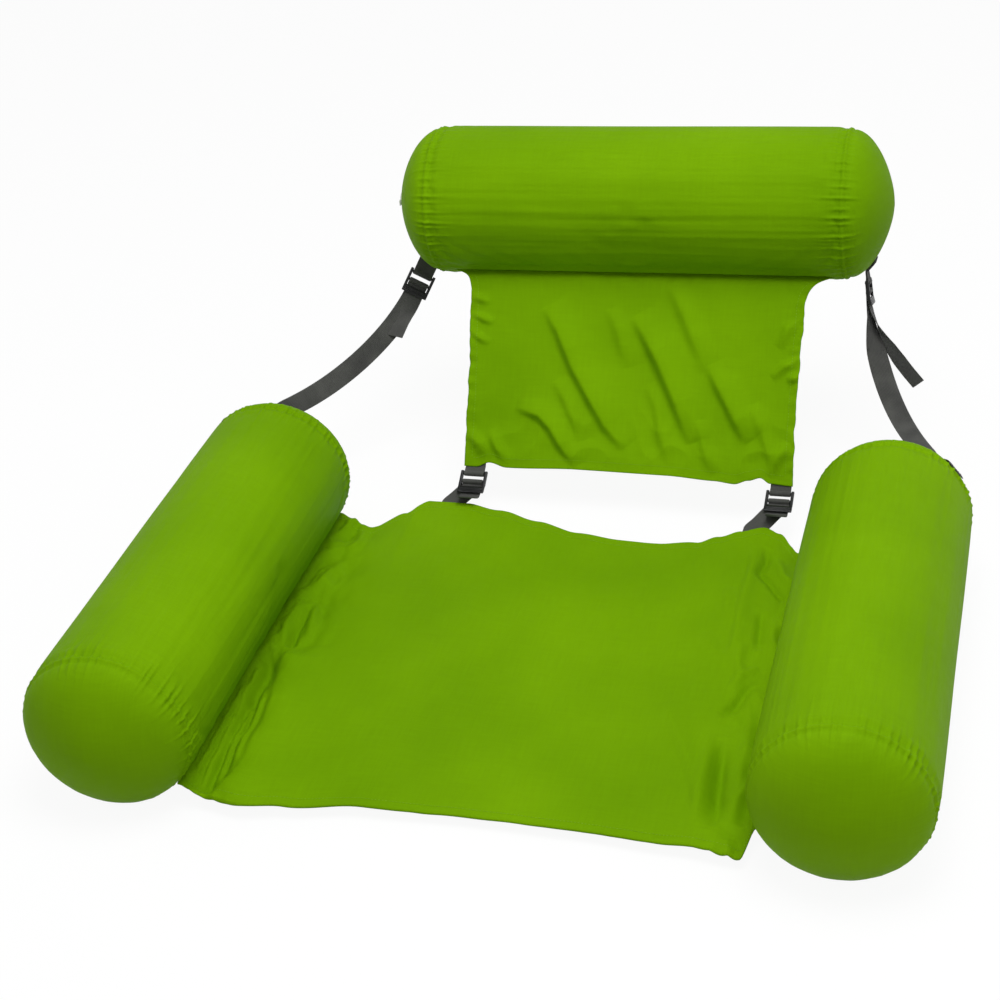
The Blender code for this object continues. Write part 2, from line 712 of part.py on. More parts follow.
def build_side_strap(name, side, places, pivots, shared_lock):
    """Loop on the headrest's cap, ladder lock, and long strap to the rear of the armrest."""
    head_place, arm_place = places
    head_pivot, arm_pivot = pivots
    out = Vector((side, 0.0, 0.0))
    first = WEBBING / 2 + GAP
    near, far = [sewn_stations(head_place, out, HEAD_ANCHOR[name], HEAD_ANCHOR_SWEEP[name], standoff)
                 for standoff in (first, first + WEBBING + GAP)]
    leave, normal = dome_point(head_place, out, *HEAD_ANCHOR[name], first)
    angle, turn = ARM_ANCHOR
    swing, climb = ARM_ANCHOR_SWEEP
    start = (angle if side > 0 else 180.0 - angle, turn)
    anchors = sewn_stations(arm_place, Vector((0.0, 1.0, 0.0)), start, (swing * side, climb), first)
    arm_leave = anchors[-1][0]

    level = arm_leave - leave
    level.z = 0.0
    level.normalize()
    drop = math.radians(STRAP_DROP[name])
    forward = level * math.cos(drop) - Vector((0.0, 0.0, math.sin(drop)))
    across = near[0][1]
    if forward.cross(across).dot(Vector((side, -1.0, 0.0))) < 0:
        across = -across
    hang = forward * SIDE_LOOP_REACH[name] + normal * (GAP + WEBBING) / 2
    frame = frame_matrix(leave + hang, forward, across)
    across = frame.to_3x3() @ Vector((0.0, 1.0, 0.0))
    top = frame.to_3x3() @ Vector((0.0, 0.0, 1.0))
    upper, lower = (near, far) if top.dot(normal) < 0 else (far, near)
    stations = list(reversed(facing(upper, across))) + in_frame(frame, loop_points())
    ribbon("loop_upper_" + name, stations + facing(lower, across), head_pivot)

    inside = in_frame(frame, threaded_points())
    exit_point = inside[0][0]
    rise = math.radians(STRAP_RISE[name])
    landing = -level * math.cos(rise) - Vector((0.0, 0.0, math.sin(rise)))
    landing = (landing + Vector((0.0, STRAP_REARWARD_SHARE, 0.0))).normalized()
    handles = [arm_leave, arm_leave + landing * STRAP_RISE_REACH[name],
               exit_point + forward * STRAP_DROP_REACH[name], exit_point]
    anchors = facing(anchors, across)
    stations = anchors[:-1]
    flat = Vector((level.y, -level.x, 0.0))
    flat = flat if flat.dot(across) > 0 else -flat
    ways = [anchors[-1][1], flat, across, across]
    for step in range(SPAN_STEPS):
        t = step / SPAN_STEPS
        place = bezier(handles, t)
        ahead = (bezier(handles, t + 0.5 / SPAN_STEPS) - place).normalized()
        turn = smooth_share(STRAP_TURN_SHARES, t)
        mix = ways[int(turn)].lerp(ways[int(turn) + 1], turn - int(turn))
        stations.append((place, mix - ahead * mix.dot(ahead)))
    last_x, last_z = threaded_points()[-1]
    tail = []
    for step in range(1, 8):
        part = step / 7
        tail.append((last_x + (SIDE_TAIL_LENGTH[name] - last_x) * part,
                     last_z + SIDE_TAIL_SPREAD[name] * part ** 1.6))
    ribbon("strap_side_" + name, stations + inside + in_frame(frame, tail), arm_pivot)

    pivot = add_pivot("lock_upper_" + name + "_tip", frame.translation)
    add_object("lock_upper_" + name, shared_lock.copy(), (BLACK, 0.3), frame, pivot)


def bezier(handles, t):
    """A point of a cubic Bezier curve."""
    a, b, c, d = handles
    s = 1 - t
    return a * s ** 3 + b * 3 * s * s * t + c * 3 * s * t * t + d * t ** 3


def build_chair():
    """Make every piece of the chair."""
    seat_pivot = add_pivot("seat_frame", chair_point(0.0, 0.0, 0.0))
    back_pivot = add_pivot("back_hinge", hinge_point())
    head_pivot = add_pivot("headrest_seam", head_seam_point(0.0))
    lime = (LIME, 0.62)
    sheet("seat_panel", SEAT_COLUMNS, SEAT_ROWS, seat_grid_place, lime, seat_pivot)
    sheet("back_panel", BACK_COLUMNS, BACK_ROWS, back_place, lime, back_pivot)
    head_place = headrest_place()
    build_bolster("headrest", head_place, ("right", "left"), "left", head_pivot)
    shared_lock = lock_mesh()
    for name, side in SIDES.items():
        arm_place = Matrix.Translation(chair_point(side * ARM_X, 0.0, FACET_DEPTH))
        arm_pivot = add_pivot("arm_" + name + "_seam", chair_point(side * SEAT_HALF, 0.0, SEAT_HEIGHT))
        build_bolster("arm_" + name, arm_place, ("front", "rear"), "rear", arm_pivot)
        build_lower_straps(name, (seat_pivot, back_pivot), shared_lock)
        build_side_strap(name, side, (head_place, arm_place), (head_pivot, arm_pivot), shared_lock)


clear_scene()
chair = new_collection(OBJECT_NAME)
guides = new_collection("guides")
build_chair()
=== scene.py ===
# %% [markdown]
# # An inflatable pool chair in woven cloth, webbing and moulded plastic
#
# The chair is three inflated tubes in sewn cloth covers, a seat slung between two of them, a back
# panel under the third, and four webbing straps with ladder locks. The solids of the part are
# already in place, with their joints. This lesson dresses them: each soft solid is replaced by a
# cloth piece with seams, gathers and folds, and each hard one by a moulded piece.

import math

import bpy
import numpy as np
from mathutils import Matrix, Vector, noise


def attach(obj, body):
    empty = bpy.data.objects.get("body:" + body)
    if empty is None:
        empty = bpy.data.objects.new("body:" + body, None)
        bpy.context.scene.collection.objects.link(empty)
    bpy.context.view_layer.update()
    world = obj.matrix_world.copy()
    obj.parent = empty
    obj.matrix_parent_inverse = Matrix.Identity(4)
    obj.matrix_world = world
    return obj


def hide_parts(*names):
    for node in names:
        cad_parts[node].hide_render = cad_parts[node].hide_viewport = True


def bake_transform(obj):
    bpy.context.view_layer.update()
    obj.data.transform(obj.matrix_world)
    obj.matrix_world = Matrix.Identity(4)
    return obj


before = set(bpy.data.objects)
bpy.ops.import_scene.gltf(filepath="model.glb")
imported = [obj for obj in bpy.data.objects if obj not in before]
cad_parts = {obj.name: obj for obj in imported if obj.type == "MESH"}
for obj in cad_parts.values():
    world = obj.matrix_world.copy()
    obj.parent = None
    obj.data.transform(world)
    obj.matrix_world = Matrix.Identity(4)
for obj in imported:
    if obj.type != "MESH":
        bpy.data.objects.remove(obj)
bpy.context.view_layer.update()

# %% [markdown]
# ## Sizes that the pieces share
#
# The cloth has to sit where the solids sit, so the lesson repeats the sizes that place them, in
# metres and degrees. The tubes are 18 cm across, the webbing is 25 mm wide, and everything else
# follows from those.

# %% Name the shared sizes
TUBE_RADIUS = 0.090
TUBE_FACETS = 24
TUBE_HALF = 0.2525
DOME_HEIGHT = 0.053
DOME_ROUND = 1.36
SEAM_DRAW_IN = 0.0022
FABRIC = 0.001
GAP = 0.0003
WEBBING_WIDTH = 0.025
WEBBING = 0.0012
FACET_DEPTH = TUBE_RADIUS * math.cos(math.pi / TUBE_FACETS)
ARM_X = 0.368
HEADREST_SETBACK, HEADREST_HEIGHT = 0.549, 0.323
HEADREST_SHIFT, HEADREST_TILT = 0.033, 1.4
DOME_TIP = TUBE_HALF + GAP + DOME_HEIGHT
CENTRE_SHIFT = (DOME_TIP - HEADREST_SETBACK - FACET_DEPTH) / 2
SEAM_REACH = FACET_DEPTH + 0.0009
SEAM_STEP = SEAM_REACH * math.sqrt(0.5)
SEAT_HALF = ARM_X - SEAM_STEP
SEAT_HEIGHT = FACET_DEPTH - SEAM_STEP
SIDES = {"left": -1, "right": 1}


def chair_point(x, setback, height):
    """A point from its sideways place, its setback behind the armrests' middle and its height."""
    return Vector((x, setback + CENTRE_SHIFT, height))


ARM_PLACES = {name: Matrix.Translation(chair_point(side * ARM_X, 0.0, FACET_DEPTH))
              for name, side in SIDES.items()}
HEAD_PLACE = (Matrix.Translation(chair_point(HEADREST_SHIFT, HEADREST_SETBACK, HEADREST_HEIGHT))
              @ Matrix.Rotation(-math.radians(HEADREST_TILT), 4, "Y"))
print("seat seams at", round(SEAT_HALF, 4), "m from the middle,", round(SEAT_HEIGHT, 4), "m up")

# %% [markdown]
# ## Helpers for meshes
#
# A few jobs come back for every piece: deselect everything, put a mesh in the scene, finish a
# modifier, and write a UV map in metres so that the weave has the same scale on every cloth. They
# are written once here.

# %% Select one piece
CLOTH_UV = "cloth_metres"


def select_only(item):
    """Select one object and make it active."""
    if bpy.context.object and bpy.context.object.mode != "OBJECT":
        bpy.ops.object.mode_set(mode="OBJECT")
    bpy.ops.object.select_all(action="DESELECT")
    item.select_set(True)
    bpy.context.view_layer.objects.active = item


# %% Put a mesh in the scene


def new_item(name, points, edges=(), faces=()):
    """A mesh object in the scene, from points, edges and faces."""
    mesh = bpy.data.meshes.new(name)
    mesh.from_pydata([tuple(point) for point in points], edges, faces)
    mesh.update()
    item = bpy.data.objects.new(name, mesh)
    bpy.context.scene.collection.objects.link(item)
    return item


def new_piece(name, points, faces, uvs=None):
    """A smooth piece with one UV in metres per point."""
    item = new_item(name, points, faces=faces)
    if uvs is not None:
        layer = item.data.uv_layers.new(name=CLOTH_UV)
        layer.data.foreach_set("uv", np.asarray(uvs, dtype=np.float32)[corner_points(item.data)].ravel())
    item.data.shade_smooth()
    return item


def corner_points(mesh):
    """The point number of each face corner."""
    corners = np.empty(len(mesh.loops), dtype=np.int32)
    mesh.loops.foreach_get("vertex_index", corners)
    return corners


# %% Work in edit mode


def in_edit_mode(item, *steps):
    """Run steps of edit mode on the whole mesh, and turn its faces outwards."""
    select_only(item)
    bpy.ops.object.mode_set(mode="EDIT")
    for step in steps + (lambda: bpy.ops.mesh.normals_make_consistent(inside=False),):
        bpy.ops.mesh.select_all(action="SELECT")
        step()
    bpy.ops.object.mode_set(mode="OBJECT")


def spin_round(item, steps, merge):
    """Spin an outline round Z and merge its doubles."""
    in_edit_mode(
        item, lambda: bpy.ops.mesh.spin(steps=steps, angle=math.tau, center=(0, 0, 0), axis=(0, 0, 1)),
        lambda: bpy.ops.mesh.remove_doubles(threshold=merge))


# %% Read and move points


def points_of(item):
    """The points of a mesh as an array."""
    values = np.empty(len(item.data.vertices) * 3, dtype=np.float32)
    item.data.vertices.foreach_get("co", values)
    return values.reshape(-1, 3).astype(np.float64)


def move_points(item, points):
    """Put the points of a mesh at new places."""
    item.data.vertices.foreach_set("co", np.asarray(points, dtype=np.float32).ravel())
    item.data.update()


def point_normals(item):
    """The normal at each point of a mesh."""
    values = np.empty(len(item.data.vertices) * 3, dtype=np.float32)
    item.data.vertex_normals.foreach_get("vector", values)
    return values.reshape(-1, 3).astype(np.float64)


# %% Apply modifiers


def finish_with(item, kind, **settings):
    """Add a modifier with its settings, and apply it."""
    modifier = item.modifiers.new(kind.lower(), kind)
    for setting, value in settings.items():
        setattr(modifier, setting, value)
    select_only(item)
    bpy.ops.object.modifier_apply(modifier=modifier.name)


def thicken(item, wall):
    """Give an open cloth its thickness."""
    finish_with(item, "SOLIDIFY", thickness=wall, offset=0.0, use_even_offset=True)


def soften_edges(item, radius, angle):
    """The small radius that a mould leaves on edges sharper than an angle."""
    finish_with(item, "BEVEL", width=radius, segments=3, limit_method="ANGLE",
                angle_limit=math.radians(angle))


def smooth_up_to(item, angle):
    """Smooth shading over edges up to an angle."""
    select_only(item)
    bpy.ops.object.shade_smooth_by_angle(angle=math.radians(angle))


# %% Shape with bumps, eases and noise


def bump(values, centre, width):
    """A soft bump of height 1 at a centre."""
    return np.exp(-((values - centre) / width) ** 2)


def ease(share):
    """A smooth step from 0 to 1."""
    share = np.clip(share, 0.0, 1.0)
    return share * share * (3 - 2 * share)


def field(points, size, seed, octaves=3):
    """Smooth noise in space at each point, from about -1 to 1, with features of a given size."""
    shift = Vector((seed * 7.3, seed * 3.1, seed * 5.7))
    return np.array([noise.fractal(Vector(point) / size + shift, 0.6, 2.0, octaves) for point in points])


def stretched_field(first, second, scales, seed, octaves):
    """Noise with its own scale in each of two directions, for puckers and gathers."""
    places = np.stack([first * scales[0], second * scales[1], first * 0], axis=1)
    return field(places, 1.0, seed, octaves)


def creased(points, size, seed):
    """Noise with sharp ridges, for crumpled cloth, from 0 to about 1."""
    shift = Vector((seed * 3.7, seed * 9.1, seed * 1.9))
    return np.array([1 - abs(noise.noise(Vector(point) / size + shift)) * 2 for point in points])


# %% [markdown]
# ## The weave, as one node group
#
# Every cloth on the chair is woven: fine plain weave in the covers, coarse ribs in the webbing. A
# picture of a weave would be the quick way. A node group made of waves is better here, because it
# stays sharp close up, and each material can set its own thread size. It reads the UV map in
# metres, so the threads follow the surface.

# %% Write the node helpers


def add_node(tree, kind, place=(0, 0), **settings):
    """A node with its settings."""
    node = tree.nodes.new(kind)
    node.location = place
    for name, value in settings.items():
        setattr(node, name, value)
    return node


def link(tree, source, target):
    """Join two sockets."""
    tree.links.new(source, target)


def maths(tree, operation, *values):
    """A Math node fed by sockets or numbers, and its output."""
    node = add_node(tree, "ShaderNodeMath", operation=operation)
    for socket, value in zip(node.inputs, values):
        if isinstance(value, (int, float)):
            socket.default_value = value
        else:
            link(tree, value, socket)
    return node.outputs[0]


def new_group(name, inputs, outputs):
    """An empty shader node group with named sockets."""
    group = bpy.data.node_groups.new(name, "ShaderNodeTree")
    for label, kind, value in inputs:
        socket = group.interface.new_socket(name=label, in_out="INPUT", socket_type=kind)
        if value is not None:
            socket.default_value = value
    for label, kind in outputs:
        group.interface.new_socket(name=label, in_out="OUTPUT", socket_type=kind)
    return group, add_node(group, "NodeGroupInput", (-900, 0)), add_node(group, "NodeGroupOutput", (900, 0))


# %% Build the weave group
STREAK_LENGTH, STREAK_GRAIN, STREAK_DETAIL = 18.0, 28.0, 3.0

weave, weave_in, weave_out = new_group(
    "plain weave",
    [("Position", "NodeSocketVector", None), ("Thread", "NodeSocketFloat", 0.0005),
     ("Slub", "NodeSocketFloat", 0.25)],
    [("Height", "NodeSocketFloat"), ("Streak", "NodeSocketFloat")])
split = add_node(weave, "ShaderNodeSeparateXYZ")
link(weave, weave_in.outputs["Position"], split.inputs[0])
turns = []
for axis in (0, 1):
    count = maths(weave, "DIVIDE", split.outputs[axis], weave_in.outputs["Thread"])
    turns.append(maths(weave, "MULTIPLY", count, math.pi))
warp, weft = [maths(weave, "ABSOLUTE", maths(weave, "SINE", turn)) for turn in turns]
over, under = [maths(weave, "SINE", maths(weave, "MULTIPLY", turn, 0.5)) for turn in turns]
cross = maths(weave, "GREATER_THAN", maths(weave, "MULTIPLY", over, under), 0.0)
threads = maths(weave, "ADD", maths(weave, "MULTIPLY", warp, cross),
                maths(weave, "MULTIPLY", weft, maths(weave, "SUBTRACT", 1.0, cross)))
streaks = []
for stretch in ((1.0, STREAK_LENGTH, 1.0), (STREAK_LENGTH, 1.0, 1.0)):
    scale = add_node(weave, "ShaderNodeMapping")
    scale.inputs["Scale"].default_value = stretch
    link(weave, weave_in.outputs["Position"], scale.inputs["Vector"])
    grain = add_node(weave, "ShaderNodeTexNoise")
    grain.inputs["Scale"].default_value = STREAK_GRAIN
    grain.inputs["Detail"].default_value = STREAK_DETAIL
    link(weave, scale.outputs[0], grain.inputs["Vector"])
    streaks.append(grain.outputs[0])
streak = maths(weave, "MULTIPLY", maths(weave, "ADD", *streaks), 0.5)
height = maths(weave, "MULTIPLY_ADD", streak, weave_in.outputs["Slub"], threads)
link(weave, height, weave_out.inputs["Height"])
link(weave, streak, weave_out.inputs["Streak"])
print("weave group has", len(weave.nodes), "nodes")

# %% [markdown]
# ## Uneven dye and handling, as a second group
#
# Dyed polyester isn't one flat green. The dye takes a little unevenly, and folds and handling leave
# soft, broad changes in shade and shine. This group gives one broad mask and one fine one, and every
# finish on the chair places it with its own sizes.

# %% Build the uneven finish group
DETAILS = {"Broad": 2.0, "Fine": 4.0}
uneven, uneven_in, uneven_out = new_group(
    "uneven finish",
    [("Position", "NodeSocketVector", None), ("Broad", "NodeSocketFloat", 6.0),
     ("Fine", "NodeSocketFloat", 90.0)],
    [("Broad", "NodeSocketFloat"), ("Fine", "NodeSocketFloat")])
for label, detail in DETAILS.items():
    cloud = add_node(uneven, "ShaderNodeTexNoise")
    cloud.inputs["Detail"].default_value = detail
    link(uneven, uneven_in.outputs["Position"], cloud.inputs["Vector"])
    link(uneven, uneven_in.outputs[label], cloud.inputs["Scale"])
    link(uneven, cloud.outputs[0], uneven_out.inputs[label])
print("uneven finish group has", len(uneven.nodes), "nodes")

# %% Write the material helpers


def place_group(tree, group, vector, **values):
    """A group node fed by a vector, with its own values."""
    node = add_node(tree, "ShaderNodeGroup", node_tree=group)
    link(tree, vector, node.inputs["Position"])
    for label, value in values.items():
        node.inputs[label].default_value = value
    return node.outputs


def object_masks(tree, broad, fine):
    """The broad and the fine mask of the uneven finish, on the object's own coordinates."""
    space = add_node(tree, "ShaderNodeTexCoord")
    return place_group(tree, uneven, space.outputs["Object"], Broad=broad, Fine=fine)


def cloth_metres(tree):
    """The cloth's own UV map."""
    return add_node(tree, "ShaderNodeUVMap", uv_map=CLOTH_UV).outputs[0]


# %% Start a material


def start_material(name, roughness, **sockets):
    """A material with its Principled shader's plain values set."""
    material = bpy.data.materials.new(name)
    material.use_nodes = True
    shader = material.node_tree.nodes["Principled BSDF"]
    shader.inputs["Roughness"].default_value = roughness
    for label, value in sockets.items():
        shader.inputs[label.replace("_", " ")].default_value = value
    return material, material.node_tree, shader


def shade_between(tree, mask, dark, light, low=0.3, high=0.7):
    """A colour ramp between two colours, driven by a mask."""
    ramp = add_node(tree, "ShaderNodeValToRGB")
    ramp.color_ramp.elements[0].position = low
    ramp.color_ramp.elements[1].position = high
    ramp.color_ramp.elements[0].color = (*dark, 1.0)
    ramp.color_ramp.elements[1].color = (*light, 1.0)
    link(tree, mask, ramp.inputs[0])
    return ramp.outputs[0]


def multiply_colours(tree, share, first, second):
    """One colour darkened by another, up to a share."""
    mix = add_node(tree, "ShaderNodeMix", data_type="RGBA", blend_type="MULTIPLY")
    mix.inputs[0].default_value = share
    link(tree, first, mix.inputs[6])
    link(tree, second, mix.inputs[7])
    return mix.outputs[2]


def spread(tree, mask, low, high):
    """Map a mask from 0 to 1 onto a range."""
    node = add_node(tree, "ShaderNodeMapRange")
    node.inputs["To Min"].default_value = low
    node.inputs["To Max"].default_value = high
    link(tree, mask, node.inputs["Value"])
    return node.outputs[0]


def add_bump(tree, shader, height, distance, strength, below=None):
    """A Bump node on the shader's normal, over another one if given."""
    node = add_node(tree, "ShaderNodeBump")
    node.inputs["Distance"].default_value = distance
    node.inputs["Strength"].default_value = strength
    link(tree, height, node.inputs["Height"])
    if below is not None:
        link(tree, below, node.inputs["Normal"])
    link(tree, node.outputs[0], shader.inputs["Normal"])
    return node.outputs[0]


# %% [markdown]
# ## Lime cloth
#
# The covers, seat and back panel are tightly woven, coated polyester. It is strongly coloured, a
# little satin where it is stretched, and slightly darker where the dye is heavy. The material mixes
# two close greens by the broad mask, adds the thread streaks, and leaves the shine to the shader's
# own sheen and roughness sockets.

# %% Make the lime cloth
LIME_DEEP, LIME_BRIGHT = (0.132, 0.294, 0.0006), (0.176, 0.368, 0.0010)
LIME_SHEEN, LIME_SHINE = (0.6, 1.0, 0.05, 1.0), (0.75, 1.0, 0.30, 1.0)
STREAK_DARK, STREAK_LIGHT, STREAK_SHARE = (0.86, 0.86, 0.86), (1.06, 1.06, 1.06), 0.55
THREAD = 0.00055
lime_cloth, tree, shader = start_material(
    "lime_cloth", 0.6, Specular_IOR_Level=0.05, Sheen_Weight=0.04, Sheen_Roughness=0.45,
    Sheen_Tint=LIME_SHEEN, Specular_Tint=LIME_SHINE)
threads = place_group(tree, weave, cloth_metres(tree), Thread=THREAD, Slub=0.3)
masks = object_masks(tree, 5.0, 60.0)
dye = shade_between(tree, masks["Broad"], LIME_DEEP, LIME_BRIGHT, 0.25, 0.75)
streaked = shade_between(tree, threads["Streak"], STREAK_DARK, STREAK_LIGHT)
link(tree, multiply_colours(tree, STREAK_SHARE, dye, streaked), shader.inputs["Base Color"])
link(tree, spread(tree, masks["Fine"], 0.50, 0.68), shader.inputs["Roughness"])
ripple = add_bump(tree, shader, masks["Fine"], 0.0006, 0.5)
add_bump(tree, shader, threads["Height"], 0.00012, 0.6, ripple)
print("lime cloth has", len(tree.nodes), "nodes")

# %% [markdown]
# ## Thread, webbing, plastic and vinyl
#
# The stitches are a slightly brighter polyester thread, or charcoal on the webbing. The webbing is
# charcoal and coarse, with a rib along each few threads and a plain edge. The locks are moulded
# acetal: black, satin, with a fine grain and paler rubbed edges. The valves and bladders are soft
# vinyl, white and milky.

# %% Make the threads
LIME_THREAD_SHADES = (0.15, 0.34, 0.002), (0.24, 0.47, 0.006)
DARK_THREAD_SHADES = (0.05, 0.05, 0.048), (0.11, 0.11, 0.105)


def make_thread(name, roughness, shine, shades, low, high):
    """Sewing thread between two close colours."""
    material, tree, shader = start_material(name, roughness, Specular_IOR_Level=shine)
    masks = object_masks(tree, 20.0, 900.0)
    link(tree, shade_between(tree, masks["Fine"], *shades, low, high), shader.inputs["Base Color"])
    add_bump(tree, shader, masks["Fine"], 0.0001, 0.6)
    return material


lime_thread = make_thread("lime_thread", 0.45, 0.4, LIME_THREAD_SHADES, 0.35, 0.65)
dark_thread = make_thread("charcoal_thread", 0.6, 0.35, DARK_THREAD_SHADES, 0.3, 0.7)
print("threads:", lime_thread.name, "and", dark_thread.name)

# %% Make the webbing
RIB, PICK_SHARE = 0.0016, 0.8
# The paler grey is a painted highlight on the rib tops, as well as random wear where the broad tone is light.
# The darker grey is painted shade in the hollows between the ribs.
CHARCOAL_DEEP, CHARCOAL_WORN_AND_RIB_LIT = (0.030, 0.030, 0.029), (0.088, 0.088, 0.082)
webbing_cloth, tree, shader = start_material(
    "charcoal_webbing", 0.72, Specular_IOR_Level=0.3, Sheen_Weight=0.15, Sheen_Roughness=0.5)
split = add_node(tree, "ShaderNodeSeparateXYZ")
link(tree, cloth_metres(tree), split.inputs[0])
ribs = maths(tree, "SINE", maths(tree, "MULTIPLY", split.outputs[0], math.tau / RIB))
zigzag = maths(tree, "PINGPONG", split.outputs[0], RIB)
picks = maths(tree, "SINE", maths(tree, "MULTIPLY", maths(tree, "ADD", split.outputs[1], zigzag),
                                  math.tau / (RIB * PICK_SHARE)))
relief = maths(tree, "ADD", maths(tree, "MULTIPLY", ribs, 0.6), maths(tree, "MULTIPLY", picks, 0.4))
masks = object_masks(tree, 30.0, 500.0)
# The weave relief is put into the colour: painted shade between the ribs and a painted highlight on them,
# over a broad random tone.
grey = shade_between(tree, maths(tree, "MULTIPLY_ADD", relief, 0.25, masks["Broad"]),
                     CHARCOAL_DEEP, CHARCOAL_WORN_AND_RIB_LIT, 0.2, 0.85)
link(tree, grey, shader.inputs["Base Color"])
link(tree, spread(tree, masks["Fine"], 0.62, 0.86), shader.inputs["Roughness"])
add_bump(tree, shader, relief, 0.00025, 0.7)
print("webbing has", len(tree.nodes), "nodes")

# %% Make the black plastic
PLASTIC_BLACK, PLASTIC_RUBBED = (0.0040, 0.0040, 0.0044), (0.018, 0.018, 0.019)
black_plastic, tree, shader = start_material("black_plastic", 0.34, Specular_IOR_Level=0.35)
masks = object_masks(tree, 60.0, 1400.0)
edge = add_node(tree, "ShaderNodeNewGeometry").outputs["Pointiness"]
link(tree, shade_between(tree, edge, PLASTIC_BLACK, PLASTIC_RUBBED, 0.5, 0.62), shader.inputs["Base Color"])
link(tree, spread(tree, masks["Broad"], 0.26, 0.42), shader.inputs["Roughness"])
add_bump(tree, shader, masks["Fine"], 0.00005, 0.5)
print("black plastic has", len(tree.nodes), "nodes")

# %% Make the vinyls
VINYL_SPREAD = 0.08
WHITE_SHADES = (0.70, 0.70, 0.67), (0.80, 0.80, 0.78)
MILKY_SHADES = (0.55, 0.61, 0.59), (0.66, 0.71, 0.69)


def make_vinyl(name, shades, roughness):
    """Soft vinyl between two close colours."""
    material, tree, shader = start_material(name, roughness, Specular_IOR_Level=0.5, Coat_Weight=0.15,
                                            Coat_Roughness=0.25)
    masks = object_masks(tree, 40.0, 700.0)
    link(tree, shade_between(tree, masks["Broad"], *shades), shader.inputs["Base Color"])
    link(tree, spread(tree, masks["Broad"], roughness - VINYL_SPREAD, roughness + VINYL_SPREAD),
         shader.inputs["Roughness"])
    add_bump(tree, shader, masks["Fine"], 0.00006, 0.35)
    return material


white_vinyl = make_vinyl("white_vinyl", WHITE_SHADES, 0.36)
milky_vinyl = make_vinyl("milky_vinyl", MILKY_SHADES, 0.3)
print("vinyls:", white_vinyl.name, "and", milky_vinyl.name)

# %% Write how a piece is dressed


def dress(item, material, slot, body, nodes=(), blend_with=None, span=None):
    """Give a finished piece its material and hide the solids that it stands for; parent it to its body, or
    only bake its place when blend_with is given. The slot is not used.
    """
    item.data.materials.clear()
    item.data.materials.append(material)
    if blend_with is None:
        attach(item, body)
    else:
        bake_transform(item)
    if nodes:
        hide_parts(*nodes)
    return item


# %% [markdown]
# ## Tube covers
#
# Each of the three tubes is a sewn sleeve with a gathered cloth disc in each end, blown tight by the
# bladder inside. It could be a cylinder with bulged ends, but then nothing would say cloth. Here the
# outline is drawn once and spun round, the air is simulated with the seams held, and the gathers
# that the end seams pull into the cloth are moved into the finer mesh afterwards.

# %% Draw and spin a tube
TUBE_SKIN = TUBE_RADIUS - 0.0002
AROUND, SLEEVE_RINGS, DOME_RINGS = 200, 72, 16
SEAM_CROWDING, DOME_CROWDING = 0.75, 0.9
SEAM_WIDTH = 0.0035
SEAM_PLACE = TUBE_HALF + GAP / 2


def tube_outline():
    """Radius and place along the tube, from one pole to the other."""
    rim = TUBE_SKIN - SEAM_DRAW_IN
    dome = []
    for ring in range(DOME_RINGS + 1):
        turn = math.radians(90.0 * (1 - ring / DOME_RINGS) ** DOME_CROWDING)
        radius = rim * max(0.0, math.cos(turn)) ** DOME_ROUND
        dome.append((radius, TUBE_HALF + GAP + DOME_HEIGHT * math.sin(turn)))
    dome[0] = (0.0, dome[0][1])
    sleeve = []
    for ring in range(1, SLEEVE_RINGS):
        along = TUBE_HALF * math.cos(math.pi * ring / SLEEVE_RINGS) * SEAM_CROWDING
        along += TUBE_HALF * (1 - 2 * ring / SLEEVE_RINGS) * (1 - SEAM_CROWDING)
        from_seam = TUBE_HALF - abs(along)
        sleeve.append((TUBE_SKIN - SEAM_DRAW_IN * math.exp(-from_seam / SEAM_WIDTH), along))
    return dome + sleeve + [(radius, -along) for radius, along in reversed(dome)]


def spin_tube(name):
    """A closed tube along Z, spun from its outline."""
    outline = tube_outline()
    item = new_item(name, [(radius, 0.0, along) for radius, along in outline],
                    [(i, i + 1) for i in range(len(outline) - 1)])
    spin_round(item, AROUND, 0.00002)
    item.data.shade_smooth()
    return item


# %% Measure round a tube


def angles_round(points):
    """The angle round the tube of points along Z."""
    return np.arctan2(points[:, 1], points[:, 0])


def turn_between(angles, angle):
    """How far angles lie from one angle, from minus half a turn to half a turn."""
    return (angles - angle + math.pi) % math.tau - math.pi


# %% [markdown]
# ## Blowing the tubes up
#
# The Cloth simulation gives the soft unevenness that air and stitching leave: it holds the end seams
# and the line where the panel is sewn, pushes the rest outwards, and stops after a few frames. How
# far a point may move is capped, so that the tube stays the size of its solid.

# %% Simulate the air
AIR_FRAMES, AIR_REACH = 14, 0.0022
AIR_AND_CLOTH = {"quality": 5, "mass": 0.15, "tension_stiffness": 25, "compression_stiffness": 8,
                 "shear_stiffness": 8, "bending_stiffness": 0.05, "vertex_group_mass": "held",
                 "shrink_min": -0.006, "use_pressure": True, "uniform_pressure_force": 4.0}


def blow_up(item, held):
    """Run Cloth with pressure on a closed tube, and keep the capped result."""
    start = points_of(item)
    item.vertex_groups.new(name="held").add([int(index) for index in np.nonzero(held)[0]], 1.0, "REPLACE")
    cloth = item.modifiers.new("air", "CLOTH")
    for setting, value in AIR_AND_CLOTH.items():
        setattr(cloth.settings, setting, value)
    cloth.settings.effector_weights.gravity = 0.0
    cloth.collision_settings.use_collision = False
    cloth.point_cache.frame_start = 1
    cloth.point_cache.frame_end = AIR_FRAMES
    scene = bpy.context.scene
    for step in range(1, AIR_FRAMES + 1):
        scene.frame_set(step)
    select_only(item)
    bpy.ops.object.modifier_apply(modifier=cloth.name)
    scene.frame_set(1)
    moved = points_of(item) - start
    reach = np.linalg.norm(moved, axis=1, keepdims=True)
    share = np.minimum(1.0, AIR_REACH / np.maximum(reach, 1e-9))
    move_points(item, start + moved * share)
    print(item.name, "air moved points by up to", round(float(reach.max()) * 1000, 1), "mm")


